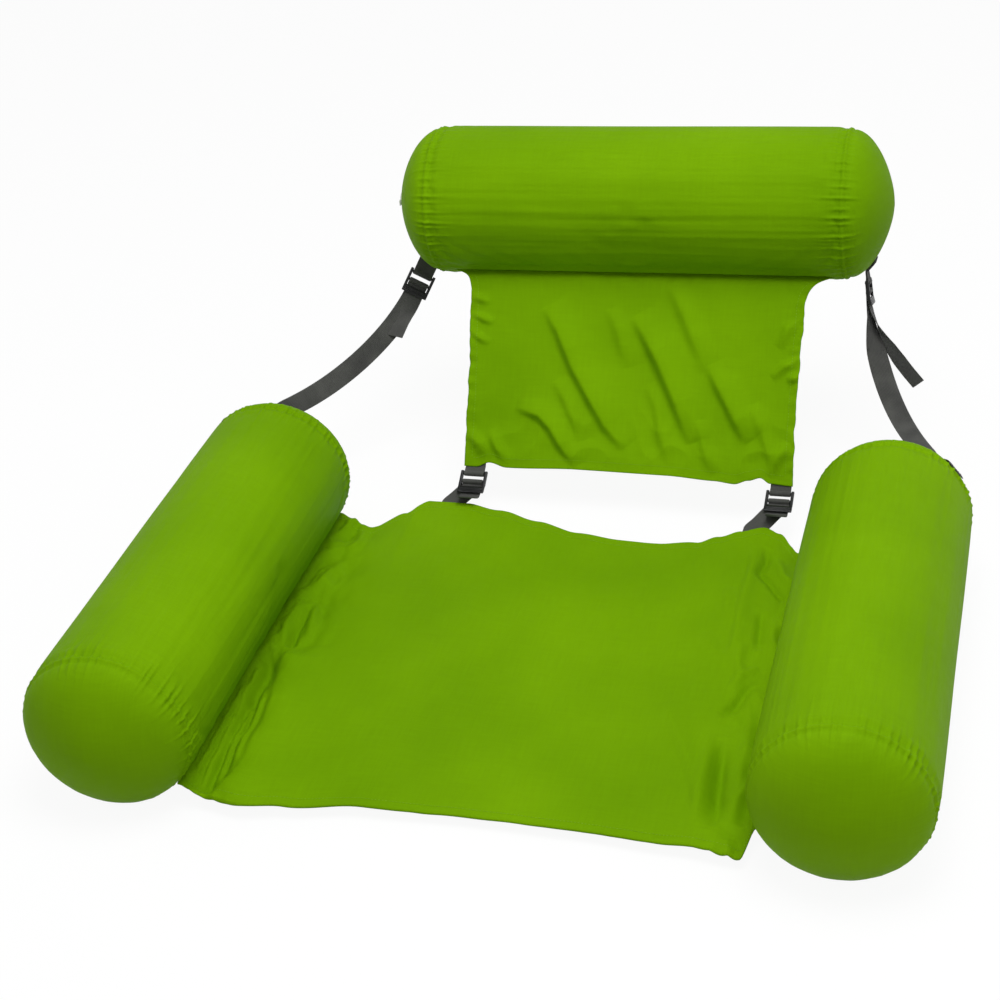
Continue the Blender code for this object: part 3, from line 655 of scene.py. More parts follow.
# %% [markdown]
# ## Gathers at the end seams
#
# The sleeve is a little wider than the disc it is sewn to, so it is gathered into the seam in short
# pleats, about one for each 11 mm. They are strong in some places and nearly gone in others, as a
# machinist's gathers are. Each pleat is a narrow ridge that fades along the sleeve, with a
# shorter one on the disc.

# %% Shape the gathers
PLEATS, PLEAT_HEIGHT, PLEAT_LENGTH, DISC_PLEAT_LENGTH = 52, 0.0042, 0.016, 0.009
PLEAT_SIDE_DIP, PLEAT_SIDE_WIDTH, PLEAT_FADE, PLEAT_START = 0.35, 2.2, 1.6, 0.0012
LONG_RIPPLE, LONG_RIPPLE_SCALES = 0.0008, (3.4, 1.4)
FINE_RIPPLE, FINE_RIPPLE_SCALES = 0.45 * LONG_RIPPLE, (9.0, 3.0)
DISC_RIPPLE, DISC_RIPPLE_SIZE = 0.0006, 0.022
SEAM_RIDGE, SEAM_RIDGE_WIDTH = 0.0016, 0.0013
SEAM_GROOVE, SEAM_GROOVE_PLACE, SEAM_GROOVE_WIDTH = 0.0011, 0.0042, 0.0018
PANEL_RIDGE, PANEL_RIDGE_WIDTH, PANEL_PUCKERS = 0.0014, 0.0028, (70, 14)
PANEL_GROOVE, PANEL_GROOVE_PLACE, PANEL_GROOVE_WIDTH = 0.0009, 0.0085, 0.006
SLEEVE_EASE, DISC_EASE, DISC_SEAM_EASE, PANEL_EASE = 0.03, 0.05, 0.01, 0.012
STRAP_CALM, STRAP_CALM_REACH = 0.017, 1.6
STRONG_GATHERS = {"Y": (0.75, 0.65), "X": (-0.9, 0.3)}
DISC_CROWN = 1.08


def pleat_table(seed, strong):
    """Angle, width, strength and length of each pleat round one seam, strongest at one angle."""
    rng = np.random.default_rng(seed)
    angles = (np.arange(PLEATS) + rng.uniform(-0.28, 0.28, PLEATS)) * math.tau / PLEATS
    widths = rng.uniform(0.13, 0.21, PLEATS) * math.tau / PLEATS
    swell = 0.5 + 0.5 * np.cos(angles - strong)
    strengths = (0.25 + 0.75 * swell ** 2) * rng.uniform(0.4, 1.0, PLEATS)
    lengths = rng.uniform(0.65, 1.5, PLEATS)
    return list(zip(angles, widths, strengths, lengths))


def pleats_at(angles, from_seam, on_disc, seed, strong):
    """How far the gathers lift each point."""
    lift = np.zeros(len(angles))
    base = np.where(on_disc, DISC_PLEAT_LENGTH, PLEAT_LENGTH)
    for angle, width, strength, length in pleat_table(seed, strong):
        away = turn_between(angles, angle)
        near = np.abs(away) < 4 * width
        dip = PLEAT_SIDE_DIP * bump(away[near], 0.0, PLEAT_SIDE_WIDTH * width)
        reach = from_seam[near] / (base[near] * length)
        fade = np.exp(-reach ** PLEAT_FADE) * ease(from_seam[near] / PLEAT_START)
        lift[near] += strength * (bump(away[near], 0.0, width) - dip) * fade
    return lift * PLEAT_HEIGHT


# %% Finish the finer mesh


def round_field(angles, along, scales, seed, octaves):
    """Noise on a sleeve that joins up with itself round the tube."""
    places = np.stack([np.cos(angles) * scales[0], np.sin(angles) * scales[0], along * scales[1]], axis=1)
    return field(places, 1.0, seed, octaves)


def finish_tube(item, seed, seam, straps, strong):
    """Finer mesh, gathers, ripples along the tube, the stitched-in panel line and the UV map."""
    finish_with(item, "SUBSURF", levels=1, render_levels=1)
    points = points_of(item)
    normals = point_normals(item)
    angles = angles_round(points)
    along = points[:, 2]
    from_seam = np.abs(np.abs(along) - TUBE_HALF - GAP / 2)
    on_disc = np.abs(along) > SEAM_PLACE
    lift = np.zeros(len(points))
    for number, end in enumerate((1, -1)):
        here = along * end > 0
        lift[here] += pleats_at(angles[here], from_seam[here], on_disc[here], seed * 10 + number, strong)
    for angle, end in straps:
        away = turn_between(angles, angle) * TUBE_RADIUS
        lift *= 1 - ease(STRAP_CALM_REACH - np.abs(away) / STRAP_CALM) * on_disc * (along * end > 0)
    sleeve = ease(from_seam / SLEEVE_EASE) * ~on_disc
    lift += LONG_RIPPLE * sleeve * round_field(angles, along, LONG_RIPPLE_SCALES, seed, 3)
    lift += FINE_RIPPLE * sleeve * round_field(angles, along, FINE_RIPPLE_SCALES, seed + 5, 2)
    disc = ease((DISC_EASE - from_seam) / DISC_EASE) * on_disc * ease(from_seam / DISC_SEAM_EASE)
    lift += DISC_RIPPLE * disc * field(points, DISC_RIPPLE_SIZE, seed + 9, 2)
    groove = SEAM_GROOVE * bump(from_seam, SEAM_GROOVE_PLACE, SEAM_GROOVE_WIDTH)
    lift += SEAM_RIDGE * bump(from_seam, 0.0, SEAM_RIDGE_WIDTH) - groove
    angle, low, high = seam
    away = turn_between(angles, angle) * TUBE_RADIUS
    inside = ease((along - low) / PANEL_EASE) * ease((high - along) / PANEL_EASE)
    puckers = 0.5 + 0.5 * stretched_field(along, away, PANEL_PUCKERS, seed + 3, 2)
    groove = PANEL_GROOVE * bump(np.abs(away), PANEL_GROOVE_PLACE, PANEL_GROOVE_WIDTH) * puckers
    lift += inside * (PANEL_RIDGE * bump(away, 0.0, PANEL_RIDGE_WIDTH) - groove)
    points += normals * lift[:, None]
    move_points(item, points)
    tube_uvs(item)


# %% Write the tube's UVs


def tube_uvs(item):
    """UVs in metres: round and along on the sleeve, flat on the discs."""
    mesh = item.data
    points = points_of(item)
    angles = angles_round(points)
    corners = corner_points(mesh)
    starts = np.empty(len(mesh.polygons), dtype=np.int32)
    totals = np.empty(len(mesh.polygons), dtype=np.int32)
    mesh.polygons.foreach_get("loop_start", starts)
    mesh.polygons.foreach_get("loop_total", totals)
    face = np.repeat(np.arange(len(starts)), totals)
    middle = np.bincount(face, points[corners, 2]) / np.bincount(face)
    first = angles[corners[starts]][face]
    wrapped = first + turn_between(angles[corners], first)
    uv = np.stack([wrapped * TUBE_RADIUS, points[corners, 2]], axis=1)
    disc = np.abs(middle[face]) > SEAM_PLACE
    uv[disc] = (points[corners, :2] * DISC_CROWN)[disc]
    layer = mesh.uv_layers.get(CLOTH_UV) or mesh.uv_layers.new(name=CLOTH_UV)
    layer.data.foreach_set("uv", uv.astype(np.float32).ravel())


# %% Make the three covers
FLAT_SHARE = 0.00025
HELD_AT_END, HELD_AT_PANEL, HELD_AT_POLE = 0.0009, 0.004, 0.014
SEAT_SEAM_FRONT, SEAT_SEAM_REAR = {"left": 0.252, "right": 0.219}, 0.262
HEAD_SEAM_HALF = 0.238
ARM_STRAP_ANGLE, HEAD_STRAP_ANGLES = 38.0, {-1: 265.0, 1: 262.0}


def lay_tube(item, place, along_axis):
    """Turn a tube from Z onto its own direction and put it in place."""
    angle, axis = (-math.pi / 2, "X") if along_axis == "Y" else (math.pi / 2, "Y")
    item.data.transform(place @ Matrix.Rotation(angle, 4, axis))
    item.data.update()


def press_flat(item, floor):
    """Press what reaches below the floor up to it."""
    points = points_of(item)
    points[:, 2] = np.maximum(points[:, 2], floor)
    move_points(item, points)


def tube_angle(along_axis, across, up):
    """The angle round a tube, in its own spun frame, of a direction across and up."""
    return math.atan2(-up, across) if along_axis == "Y" else math.atan2(across, -up)


# %% Put a cover together


def make_cover(name, seed, place, along_axis, nodes, body, sewn, straps):
    """One cover, from spin to dressing. sewn is the direction of the panel's seam, and its reach."""
    item = spin_tube(name)
    points = points_of(item)
    across, up, low, high = sewn
    angle = tube_angle(along_axis, across, up)
    away = np.abs(turn_between(angles_round(points), angle)) * TUBE_RADIUS
    near_end = np.abs(np.abs(points[:, 2]) - TUBE_HALF - GAP / 2) < HELD_AT_END
    on_line = (away < HELD_AT_PANEL) & (points[:, 2] > low) & (points[:, 2] < high)
    pole = np.hypot(points[:, 0], points[:, 1]) < HELD_AT_POLE
    blow_up(item, near_end | on_line | pole)
    calm = [(tube_angle(along_axis, math.cos(math.radians(turn)), math.sin(math.radians(turn))), end)
            for turn, end in straps]
    finish_tube(item, seed, (angle, low, high), calm, tube_angle(along_axis, *STRONG_GATHERS[along_axis]))
    lay_tube(item, place, along_axis)
    if along_axis == "Y":
        press_flat(item, FLAT_SHARE)
    dress(item, lime_cloth, "lime_fabric", body, nodes)
    print(item.name, len(item.data.polygons), "faces")


for number, (name, side) in enumerate(SIDES.items()):
    make_cover("arm_" + name + "_cover", 3 + number * 4, ARM_PLACES[name], "Y",
               ["arm_" + name + suffix for suffix in ("_sleeve", "_cap_front", "_cap_rear")],
               "arm_" + name, (-side, -1.0, -SEAT_SEAM_FRONT[name], SEAT_SEAM_REAR),
               [(ARM_STRAP_ANGLE if side > 0 else 180.0 - ARM_STRAP_ANGLE, 1)])
make_cover("headrest_cover", 21, HEAD_PLACE, "X",
           ["headrest_sleeve", "headrest_cap_left", "headrest_cap_right"], "headrest",
           (-1.0, -1.0, -HEAD_SEAM_HALF, HEAD_SEAM_HALF),
           [(angle, end) for end, angle in HEAD_STRAP_ANGLES.items()])

# %% [markdown]
# ## Bladders
#
# Inside each cover is a welded vinyl bladder. It never shows, but it is what holds the air, so it
# is there: a plainer tube from the same outline, a little smaller than its cover, in milky vinyl.

# %% Make the bladders
BLADDER_SHARE, BLADDER_LENGTH_SHARE = 0.962, 0.984
TUBES = {"arm_left": (ARM_PLACES["left"], "Y"), "arm_right": (ARM_PLACES["right"], "Y"),
         "headrest": (HEAD_PLACE, "X")}
for name, (place, along_axis) in TUBES.items():
    bladder = spin_tube(name + "_bladder_skin")
    bladder.data.transform(Matrix.Diagonal((BLADDER_SHARE, BLADDER_SHARE, BLADDER_LENGTH_SHARE, 1.0)))
    lay_tube(bladder, place, along_axis)
    dress(bladder, milky_vinyl, "bladder_vinyl", name, [name + "_bladder"])
    print(bladder.name, len(bladder.data.polygons), "faces")

# %% [markdown]
# ## Folds
#
# The seat and the back panel hang slack in places, and their folds are what makes them read as
# cloth. A simulation would make folds of its own. Here each fold is drawn as a line across the
# flat cloth, at the place that it has on the real chair, with its own height and its own width on
# either side, and the cloth's points are lifted by it. Noise with sharp ridges adds the crumples that
# the side seams pull up.

# %% Write the fold helper
SWELL_ROUND = 0.7


def path_offsets(x, y, path):
    """Signed distance to the nearest leg of a path, and the share of the way along it."""
    lengths = [math.dist(a, b) for a, b in zip(path, path[1:])]
    total = sum(lengths)
    best = np.full(len(x), math.inf)
    offset, share = np.zeros(len(x)), np.zeros(len(x))
    done = 0.0
    for (ax, ay), (bx, by), length in zip(path, path[1:], lengths):
        dx, dy = (bx - ax) / length, (by - ay) / length
        part = np.clip((x - ax) * dx + (y - ay) * dy, 0.0, length)
        away = np.hypot(x - ax - part * dx, y - ay - part * dy)
        side = (x - ax) * dy - (y - ay) * dx
        closer = away < best
        best[closer] = away[closer]
        offset[closer] = (np.sign(side) * away)[closer]
        share[closer] = ((done + part) / total)[closer]
        done += length
    return offset, share


def fold_lift(x, y, folds):
    """The lift of a list of folds: path, height, width before and after the line, and its fade."""
    lift = np.zeros(len(x))
    for path, height, before, after, fade in folds:
        offset, share = path_offsets(x, y, path)
        width = np.where(offset < 0, before, after)
        swell = np.clip(np.minimum(share / fade, (1 - share) / fade), 0, 1) ** SWELL_ROUND
        lift += height * swell * np.exp(-(offset / width) ** 2)
    return lift


# %% Write the cloth grid


def cloth_grid(name, columns, rows, surface, uv_size, crowding=1.0):
    """A cloth from a surface of (across, along) shares, with UVs in metres and crowded side columns."""
    across, along = np.meshgrid(np.linspace(-1, 1, columns + 1), np.linspace(0, 1, rows + 1))
    across = np.sign(across) * (1 - (1 - np.abs(across)) ** crowding)
    across, along = across.ravel(), along.ravel()
    starts = [row * (columns + 1) + column for row in range(rows) for column in range(columns)]
    faces = [(a, a + 1, a + columns + 2, a + columns + 1) for a in starts]
    uvs = np.stack([across * uv_size[0] / 2, along * uv_size[1]], axis=1)
    return new_piece(name, surface(across, along), faces, uvs)


# %% [markdown]
# ## Stitches
#
# Lock stitches show as a row of short, sunk dashes. One is modelled as a small six-sided lozenge and
# repeated along a line that lies on the cloth, all in one mesh for each piece.

# %% Write the stitch helper
STITCH_LENGTH, STITCH_PITCH, STITCH_RADIUS = 0.0026, 0.0036, 0.00030
STITCH_SIDES = 6
STITCH_RINGS = [(0.3, 0.2), (0.7, 0.2)]


def stitch_row(lines):
    """Points and faces of stitches along lists of (place, normal) points."""
    points, faces = [], []
    for line in lines:
        places = np.array([place for place, normal in line], dtype=float)
        ups = np.array([normal for place, normal in line], dtype=float)
        steps = np.linalg.norm(np.diff(places, axis=0), axis=1)
        run = np.concatenate([[0.0], np.cumsum(steps)])
        count = max(1, int(run[-1] / STITCH_PITCH))
        for number in range(count):
            middle = (number + 0.5) * run[-1] / count
            ends = [np.array([np.interp(middle + half, run, places[:, axis]) for axis in range(3)])
                    for half in (-STITCH_LENGTH / 2, STITCH_LENGTH / 2)]
            up = np.array([np.interp(middle, run, ups[:, axis]) for axis in range(3)])
            ahead = ends[1] - ends[0]
            ahead /= np.linalg.norm(ahead)
            side = np.cross(up, ahead)
            side /= np.linalg.norm(side)
            up = np.cross(ahead, side)
            first = len(points)
            tips = [end - up * STITCH_RADIUS for end in ends]
            points.append(tips[0])
            for share, rise in STITCH_RINGS:
                base = ends[0] + (ends[1] - ends[0]) * share + up * STITCH_RADIUS * rise
                for corner in range(STITCH_SIDES):
                    angle = math.tau * corner / STITCH_SIDES
                    points.append(base + (side * math.cos(angle) + up * math.sin(angle)) * STITCH_RADIUS)
            points.append(tips[1])
            for corner in range(STITCH_SIDES):
                a, b = first + 1 + corner, first + 1 + (corner + 1) % STITCH_SIDES
                c, d = a + STITCH_SIDES, b + STITCH_SIDES
                faces += [(first, a, b), (a, c, d, b), (first + 1 + 2 * STITCH_SIDES, d, c)]
    return points, faces


def add_stitches(name, lines, body, thread=lime_thread, slot="lime_fabric", **span):
    """One mesh of stitches on a body."""
    points, faces = stitch_row(lines)
    item = new_piece(name, points, faces)
    in_edit_mode(item)
    dress(item, thread, slot, body, **span)
    print(name, len(faces) // (3 * STITCH_SIDES), "stitches")
    return item


def sewn_line(surface, across, along, normal):
    """Places just proud of a surface along a line of shares, each with its normal."""
    across, along = np.broadcast_arrays(across, along)
    places = surface(across, along, -FABRIC / 2 - STITCH_RADIUS * 0.4)
    return [(place, normal) for place in places]


# %% [markdown]
# ## The seat
#
# The seat is one woven sheet sewn to both armrests low on their inner sides. It sags between them,
# drops into a narrow valley beside each seam, and its rear edge rises to two tips where the short
# straps pull. On the right the cloth is crumpled beside the seam, and on the left it lies in long
# folds in the shade of the armrest.

# %% Shape the seat
SEAT_FRONT_EDGE = [(-0.305, 0.252), (-0.278, 0.258), (-0.235, 0.266), (-0.190, 0.258), (-0.113, 0.245),
                   (0.000, 0.243), (0.100, 0.246), (0.214, 0.254), (0.274, 0.262), (0.283, 0.222),
                   (0.305, 0.219)]
SEAT_REAR_EDGE = [(-0.305, 0.262), (-0.258, 0.247), (-0.222, 0.276), (-0.198, 0.303), (-0.150, 0.303),
                  (-0.108, 0.292), (-0.055, 0.278), (-0.005, 0.266), (0.045, 0.260), (0.095, 0.259),
                  (0.140, 0.264), (0.165, 0.275), (0.190, 0.285), (0.217, 0.295), (0.236, 0.285),
                  (0.262, 0.256), (0.305, 0.262)]
SEAT_SCOOP, SEAT_TIP = 0.248, 0.289
SEAT_TIP_X = {"left": -0.172, "right": 0.204}
SEAT_SAG, SEAT_VALLEY, SEAT_VALLEY_WIDTH = 0.012, 0.007, 0.030
SEAT_PUCKER, SEAT_PUCKERS = 0.002, 7
SEAT_CRUMPLES = {1: (0.026, 0.036, 0.019, 4, 0.0042), -1: (0.022, 0.026, 0.016, 8, 0.0034)}
CRUMPLE_DROP, SEAM_CALM, TIP_CALM = 0.0016, 0.012, 0.030
SEAT_WAVES = [(0.11, 2, 0.0018), (0.035, 6, 0.0006)]
SEAT_GATHER, SEAT_GATHER_PLACE, SEAT_GATHER_WIDTH, SEAT_GATHERS = 0.0016, 0.006, 0.008, (62, 6)
LENGTHWISE = 0.55
FLOOR_CLEARANCE = 0.0028
SEAT_FOLDS = [
    ([(-0.264, -0.262), (-0.251, -0.215), (-0.252, -0.150), (-0.256, -0.100), (-0.268, -0.040),
      (-0.276, 0.000)], 0.0110, 0.010, 0.034, 0.10),
    ([(-0.280, -0.255), (-0.282, -0.150), (-0.286, -0.050), (-0.290, -0.010)], -0.0135, 0.014, 0.014, 0.08),
    ([(-0.293, -0.240), (-0.295, -0.150), (-0.297, -0.070)], 0.0055, 0.0032, 0.0032, 0.15),
    ([(-0.283, -0.248), (-0.286, -0.170), (-0.290, -0.090), (-0.293, -0.030)], 0.0110, 0.0048, 0.0046, 0.15),
    ([(-0.272, -0.238), (-0.277, -0.160), (-0.280, -0.100)], 0.0105, 0.0048, 0.0046, 0.2),
    ([(-0.261, -0.225), (-0.266, -0.170), (-0.268, -0.120), (-0.277, -0.060)], 0.0095, 0.0050, 0.0050, 0.2),
    ([(-0.282, -0.006), (-0.289, 0.041), (-0.288, 0.085)], 0.0055, 0.005, 0.005, 0.2),
    ([(-0.267, -0.004), (-0.262, 0.035), (-0.274, 0.086)], 0.0055, 0.006, 0.008, 0.2),
    ([(-0.276, 0.010), (-0.277, 0.060)], -0.0045, 0.005, 0.005, 0.3),
    ([(-0.297, 0.100), (-0.293, 0.150), (-0.286, 0.180)], -0.0060, 0.006, 0.008, 0.2),
    ([(-0.279, 0.100), (-0.276, 0.135), (-0.270, 0.175)], 0.0055, 0.006, 0.012, 0.25),
    ([(-0.292, 0.215), (-0.284, 0.245), (-0.270, 0.262)], 0.0050, 0.005, 0.005, 0.3),
    ([(-0.270, 0.190), (-0.262, 0.215), (-0.264, 0.245)], 0.0045, 0.005, 0.007, 0.3),
    ([(-0.282, 0.205), (-0.274, 0.232)], -0.0040, 0.004, 0.004, 0.3),
    ([(-0.250, 0.095), (-0.240, 0.040), (-0.246, -0.010)], 0.0018, 0.008, 0.010, 0.3),
    ([(0.210, 0.262), (0.213, 0.215), (0.211, 0.158), (0.215, 0.082), (0.214, 0.036)],
     0.0050, 0.010, 0.005, 0.2),
    ([(0.224, 0.262), (0.228, 0.235), (0.223, 0.210), (0.238, 0.192), (0.259, 0.161)],
     -0.0060, 0.005, 0.005, 0.2),
    ([(0.240, 0.240), (0.250, 0.205), (0.266, 0.185)], 0.0045, 0.006, 0.006, 0.3),
    ([(0.236, 0.138), (0.239, 0.104), (0.242, 0.063)], -0.0060, 0.006, 0.005, 0.25),
    ([(0.252, 0.130), (0.256, 0.085), (0.262, 0.050)], 0.0045, 0.006, 0.006, 0.3),
    ([(0.192, 0.180), (0.196, 0.140), (0.205, 0.110)], 0.0030, 0.012, 0.006, 0.3),
    ([(0.226, 0.075), (0.224, 0.040), (0.233, 0.012)], 0.0040, 0.006, 0.006, 0.3),
    ([(0.220, -0.052), (0.233, -0.032), (0.241, -0.005), (0.254, 0.015)], -0.0062, 0.005, 0.007, 0.25),
    ([(0.224, -0.010), (0.232, 0.018), (0.248, 0.034)], 0.0042, 0.006, 0.006, 0.3),
    ([(0.175, 0.090), (0.200, 0.052), (0.222, 0.045)], 0.0026, 0.009, 0.006, 0.3),
    ([(0.230, -0.090), (0.234, -0.123), (0.238, -0.161), (0.242, -0.225)], -0.0105, 0.007, 0.009, 0.3),
    ([(0.216, -0.085), (0.218, -0.140), (0.221, -0.225)], 0.0035, 0.008, 0.006, 0.3),
    ([(0.255, -0.060), (0.256, -0.130), (0.258, -0.225)], 0.0050, 0.007, 0.007, 0.3),
    ([(0.158, -0.034), (0.188, -0.105), (0.205, -0.143), (0.227, -0.216)], 0.0034, 0.012, 0.005, 0.3),
]


# %% Lift the seat's points


def eased_table(table, values):
    """Read a table of (place, height) with eased steps, for many values at once."""
    result = np.full(len(values), table[-1][1], dtype=float)
    for (a, low), (b, high) in reversed(list(zip(table, table[1:]))):
        inside = values <= b
        result[inside] = low + (high - low) * ease((values[inside] - a) / (b - a))
    return result


def seat_height(x, along, rear):
    """The sling's own height, before its folds."""
    side = np.minimum(1.0, np.abs(x) / SEAT_HALF)
    tip = np.clip((rear - SEAT_SCOOP) / (SEAT_TIP - SEAT_SCOOP), 0, 1)
    inner = (1 - side) * SEAT_HALF
    valley = np.exp(-((inner - SEAT_VALLEY_WIDTH) / SEAT_VALLEY_WIDTH) ** 2)
    edge = np.minimum(1.0, inner / SEAT_VALLEY_WIDTH)
    rise = SEAT_PUCKER * valley * np.sin(math.tau * SEAT_PUCKERS * along)
    sag = SEAT_SAG * (1 - side ** 4) * (1 - tip * along ** 6)
    dip = sag + SEAT_VALLEY * valley * (1 - along ** 6)
    return SEAT_HEIGHT + (rise - dip) * edge


# %% Lay the folds over the seat


def seat_surface(across, along, drop=0.0):
    """Points of the seat from shares across it and from its front edge to its rear edge."""
    x = across * SEAT_HALF
    rear = eased_table(SEAT_REAR_EDGE, x)
    front = eased_table(SEAT_FRONT_EDGE, x)
    setback = -front + (front + rear) * along
    inner = (1 - np.abs(across)) * SEAT_HALF
    calm = ease(inner / SEAM_CALM)
    for tip_x in SEAT_TIP_X.values():
        calm = calm * (1 - bump(np.hypot(x - tip_x, setback - SEAT_TIP), 0.0, TIP_CALM))
    flat = np.stack([x, setback * LENGTHWISE, np.zeros(len(x))], axis=1)
    lift = fold_lift(x, setback, SEAT_FOLDS)
    for side, (place, width, size, seed, ridge) in SEAT_CRUMPLES.items():
        beside = bump(inner, place, width) * (x * side > 0)
        lift = lift + (creased(flat, size, seed) * ridge - CRUMPLE_DROP) * beside
    for size, seed, wave in SEAT_WAVES:
        lift = lift + field(flat, size, seed, 2) * wave
    gather = SEAT_GATHER * bump(inner, SEAT_GATHER_PLACE, SEAT_GATHER_WIDTH)
    gather = gather * stretched_field(setback, x, SEAT_GATHERS, 7, 2)
    height = np.maximum(seat_height(x, along, rear) + lift * calm + gather, FLOOR_CLEARANCE)
    return np.stack([x, setback + CENTRE_SHIFT, height - drop], axis=1)


# %% Sew the seat
SEAT_COLUMNS, SEAT_ROWS, SEAT_CROWDING, FRONT_CROWDING = 240, 168, 1.5, 1.25
SEAT_SPAN, SEAT_FLAT = 0.520, (2 * SEAT_HALF + 0.022, 0.570)
HEM, HEM_ROWS, HEM_FABRIC, HEM_STITCH_INSET = 0.014, 6, FABRIC * 0.8, 0.003


def add_cloth(item, nodes, **span):
    """Thicken a cloth and dress it, and give its area before it got its thickness."""
    area = sum(face.area for face in item.data.polygons)
    body = item.name.split("_")[0]
    thicken(item, FABRIC if nodes else HEM_FABRIC)
    dress(item, lime_cloth, "lime_fabric", body, nodes, **span)
    return area


def hem_strip(name, surface, edge, uv_size, columns, crowding=1.0):
    """A strip of the same surface along one edge, folded under it."""
    low, high = edge

    def under(across, along):
        return surface(across, low + (high - low) * along, FABRIC + GAP)

    strip = cloth_grid(name, columns, HEM_ROWS, under, uv_size, crowding)
    add_cloth(strip, ())
    return strip


seat = cloth_grid("seat_cloth", SEAT_COLUMNS, SEAT_ROWS,
                  lambda across, along: seat_surface(across, 1 - (1 - along) ** FRONT_CROWDING),
                  (2 * SEAT_HALF, SEAT_SPAN), SEAT_CROWDING)
seat_area = add_cloth(seat, ["seat_panel"])
SEAT_HEMS = {"front": (0.0005, HEM / SEAT_SPAN), "rear": (1 - HEM / SEAT_SPAN, 0.9995)}
sewn_on = [hem_strip("seat_hem_" + name, seat_surface, edge, (2 * SEAT_HALF, HEM), SEAT_COLUMNS,
                     SEAT_CROWDING) for name, edge in SEAT_HEMS.items()]
hem_share = (HEM - HEM_STITCH_INSET) / SEAT_SPAN
sewn_on.append(add_stitches(
    "seat_stitches", [sewn_line(seat_surface, np.linspace(-0.985, 0.985, 240), along, (0.0, 0.0, 1.0))
                      for along in (hem_share, 1 - hem_share)], "seat"))
print("seat cloth area", round(seat_area, 4), "of", round(SEAT_FLAT[0] * SEAT_FLAT[1], 4))

# %% [markdown]
# ## The back panel
#
# The back panel hangs from the headrest by its top seam and is pulled down at its two lower corners.
# That pull runs across the cloth and raises long folds from upper left to lower right, steep on
# their lower side. The side hems are puckered by their stitching, and the lower edge droops a
# little between the corners.

# %% Shape the back panel
BACK_BOTTOM_SETBACK, BACK_BOTTOM_HEIGHT, BACK_BOTTOM_SHIFT = 0.348, 0.055, 0.0395
BACK_WIDTH_TOP, BACK_WIDTH_BOTTOM, BACK_WAIST, BACK_BILLOW = 0.418, 0.407, 0.002, 0.006
BACK_FLARE, BACK_FLARE_HEIGHT = {-1: 0.026, 1: 0.036}, {-1: 0.005, 1: 0.009}
TUCK_DEPTH, TUCK_HEIGHT = 0.0085, 0.0065
EDGE_WIDTH, EDGE_RAG, EDGE_RAGS, EDGE_PUCKER, EDGE_PUCKERS = 0.05, 0.0016, (34, 2), 0.0020, (60, 3)
CORNER_PLACE, CORNER_WIDTH, CORNER_HEIGHT = 0.1895, 0.016, 0.020
BACK_CRUMPLE, BACK_WAVE, BACK_RIPPLE, UPWARD = 0.0022, 0.0020, 0.0005, 0.8
BACK_GATHER, BACK_GATHER_PLACE, BACK_GATHER_WIDTH, BACK_GATHERS = 0.0014, 0.010, 0.012, (55, 8)
BACK_FOLDS = [
    ([(-0.112, 0.200), (-0.092, 0.168), (-0.072, 0.125), (-0.050, 0.090), (-0.028, 0.056),
      (-0.004, 0.030)], 0.0112, 0.024, 0.006, 0.3),
    ([(0.000, 0.192), (0.017, 0.165), (0.035, 0.134), (0.056, 0.092), (0.078, 0.042)],
     0.0128, 0.026, 0.007, 0.3),
    ([(-0.142, 0.076), (-0.112, 0.066), (-0.096, 0.050), (-0.080, 0.026), (-0.062, 0.004)],
     0.0093, 0.016, 0.005, 0.3),
    ([(0.040, 0.236), (0.052, 0.215), (0.063, 0.193), (0.078, 0.160), (0.092, 0.130)],
     0.0063, 0.014, 0.008, 0.35),
    ([(0.095, 0.136), (0.108, 0.112), (0.121, 0.091), (0.148, 0.046)], 0.0090, 0.018, 0.006, 0.3),
    ([(-0.095, 0.110), (-0.080, 0.086), (-0.068, 0.062), (-0.058, 0.036)], 0.0048, 0.012, 0.006, 0.35),
    ([(-0.030, 0.200), (-0.018, 0.172), (-0.004, 0.130)], 0.0045, 0.013, 0.008, 0.35),
    ([(0.022, 0.110), (0.034, 0.080), (0.042, 0.044), (0.056, 0.010)], 0.0045, 0.010, 0.006, 0.35),
    ([(0.086, 0.070), (0.094, 0.040), (0.108, 0.008)], 0.0051, 0.010, 0.006, 0.35),
    ([(0.150, 0.090), (0.162, 0.060), (0.178, 0.020)], 0.0045, 0.010, 0.006, 0.35),
    ([(-0.204, 0.190), (-0.176, 0.178)], 0.0051, 0.005, 0.004, 0.5),
    ([(-0.205, 0.168), (-0.180, 0.152)], 0.0045, 0.005, 0.004, 0.5),
    ([(-0.205, 0.212), (-0.182, 0.204)], 0.0039, 0.005, 0.004, 0.5),
    ([(0.206, 0.150), (0.186, 0.138), (0.172, 0.124)], 0.0060, 0.006, 0.004, 0.5),
    ([(0.206, 0.128), (0.190, 0.122)], 0.0054, 0.005, 0.004, 0.5),
    ([(0.206, 0.196), (0.188, 0.182), (0.178, 0.160)], 0.0045, 0.007, 0.005, 0.5),
    ([(-0.200, 0.044), (-0.184, 0.026), (-0.176, 0.004)], 0.0075, 0.006, 0.008, 0.4),
    ([(-0.175, 0.040), (-0.160, 0.018), (-0.150, 0.002)], 0.0051, 0.008, 0.006, 0.4),
    ([(0.196, 0.050), (0.184, 0.030), (0.176, 0.006)], 0.0063, 0.007, 0.006, 0.4),
]
BACK_LOWER_EDGE = [(-0.2040, -0.0030), (-0.1890, -0.0030), (-0.1720, 0.0030), (-0.1500, -0.0020),
                   (-0.0600, 0.0012), (0.0500, 0.0008), (0.1080, -0.0020), (0.1330, -0.0042),
                   (0.1500, 0.0010), (0.1640, 0.0050), (0.1760, -0.0010), (0.2040, -0.0025)]


# %% Find the panel's place


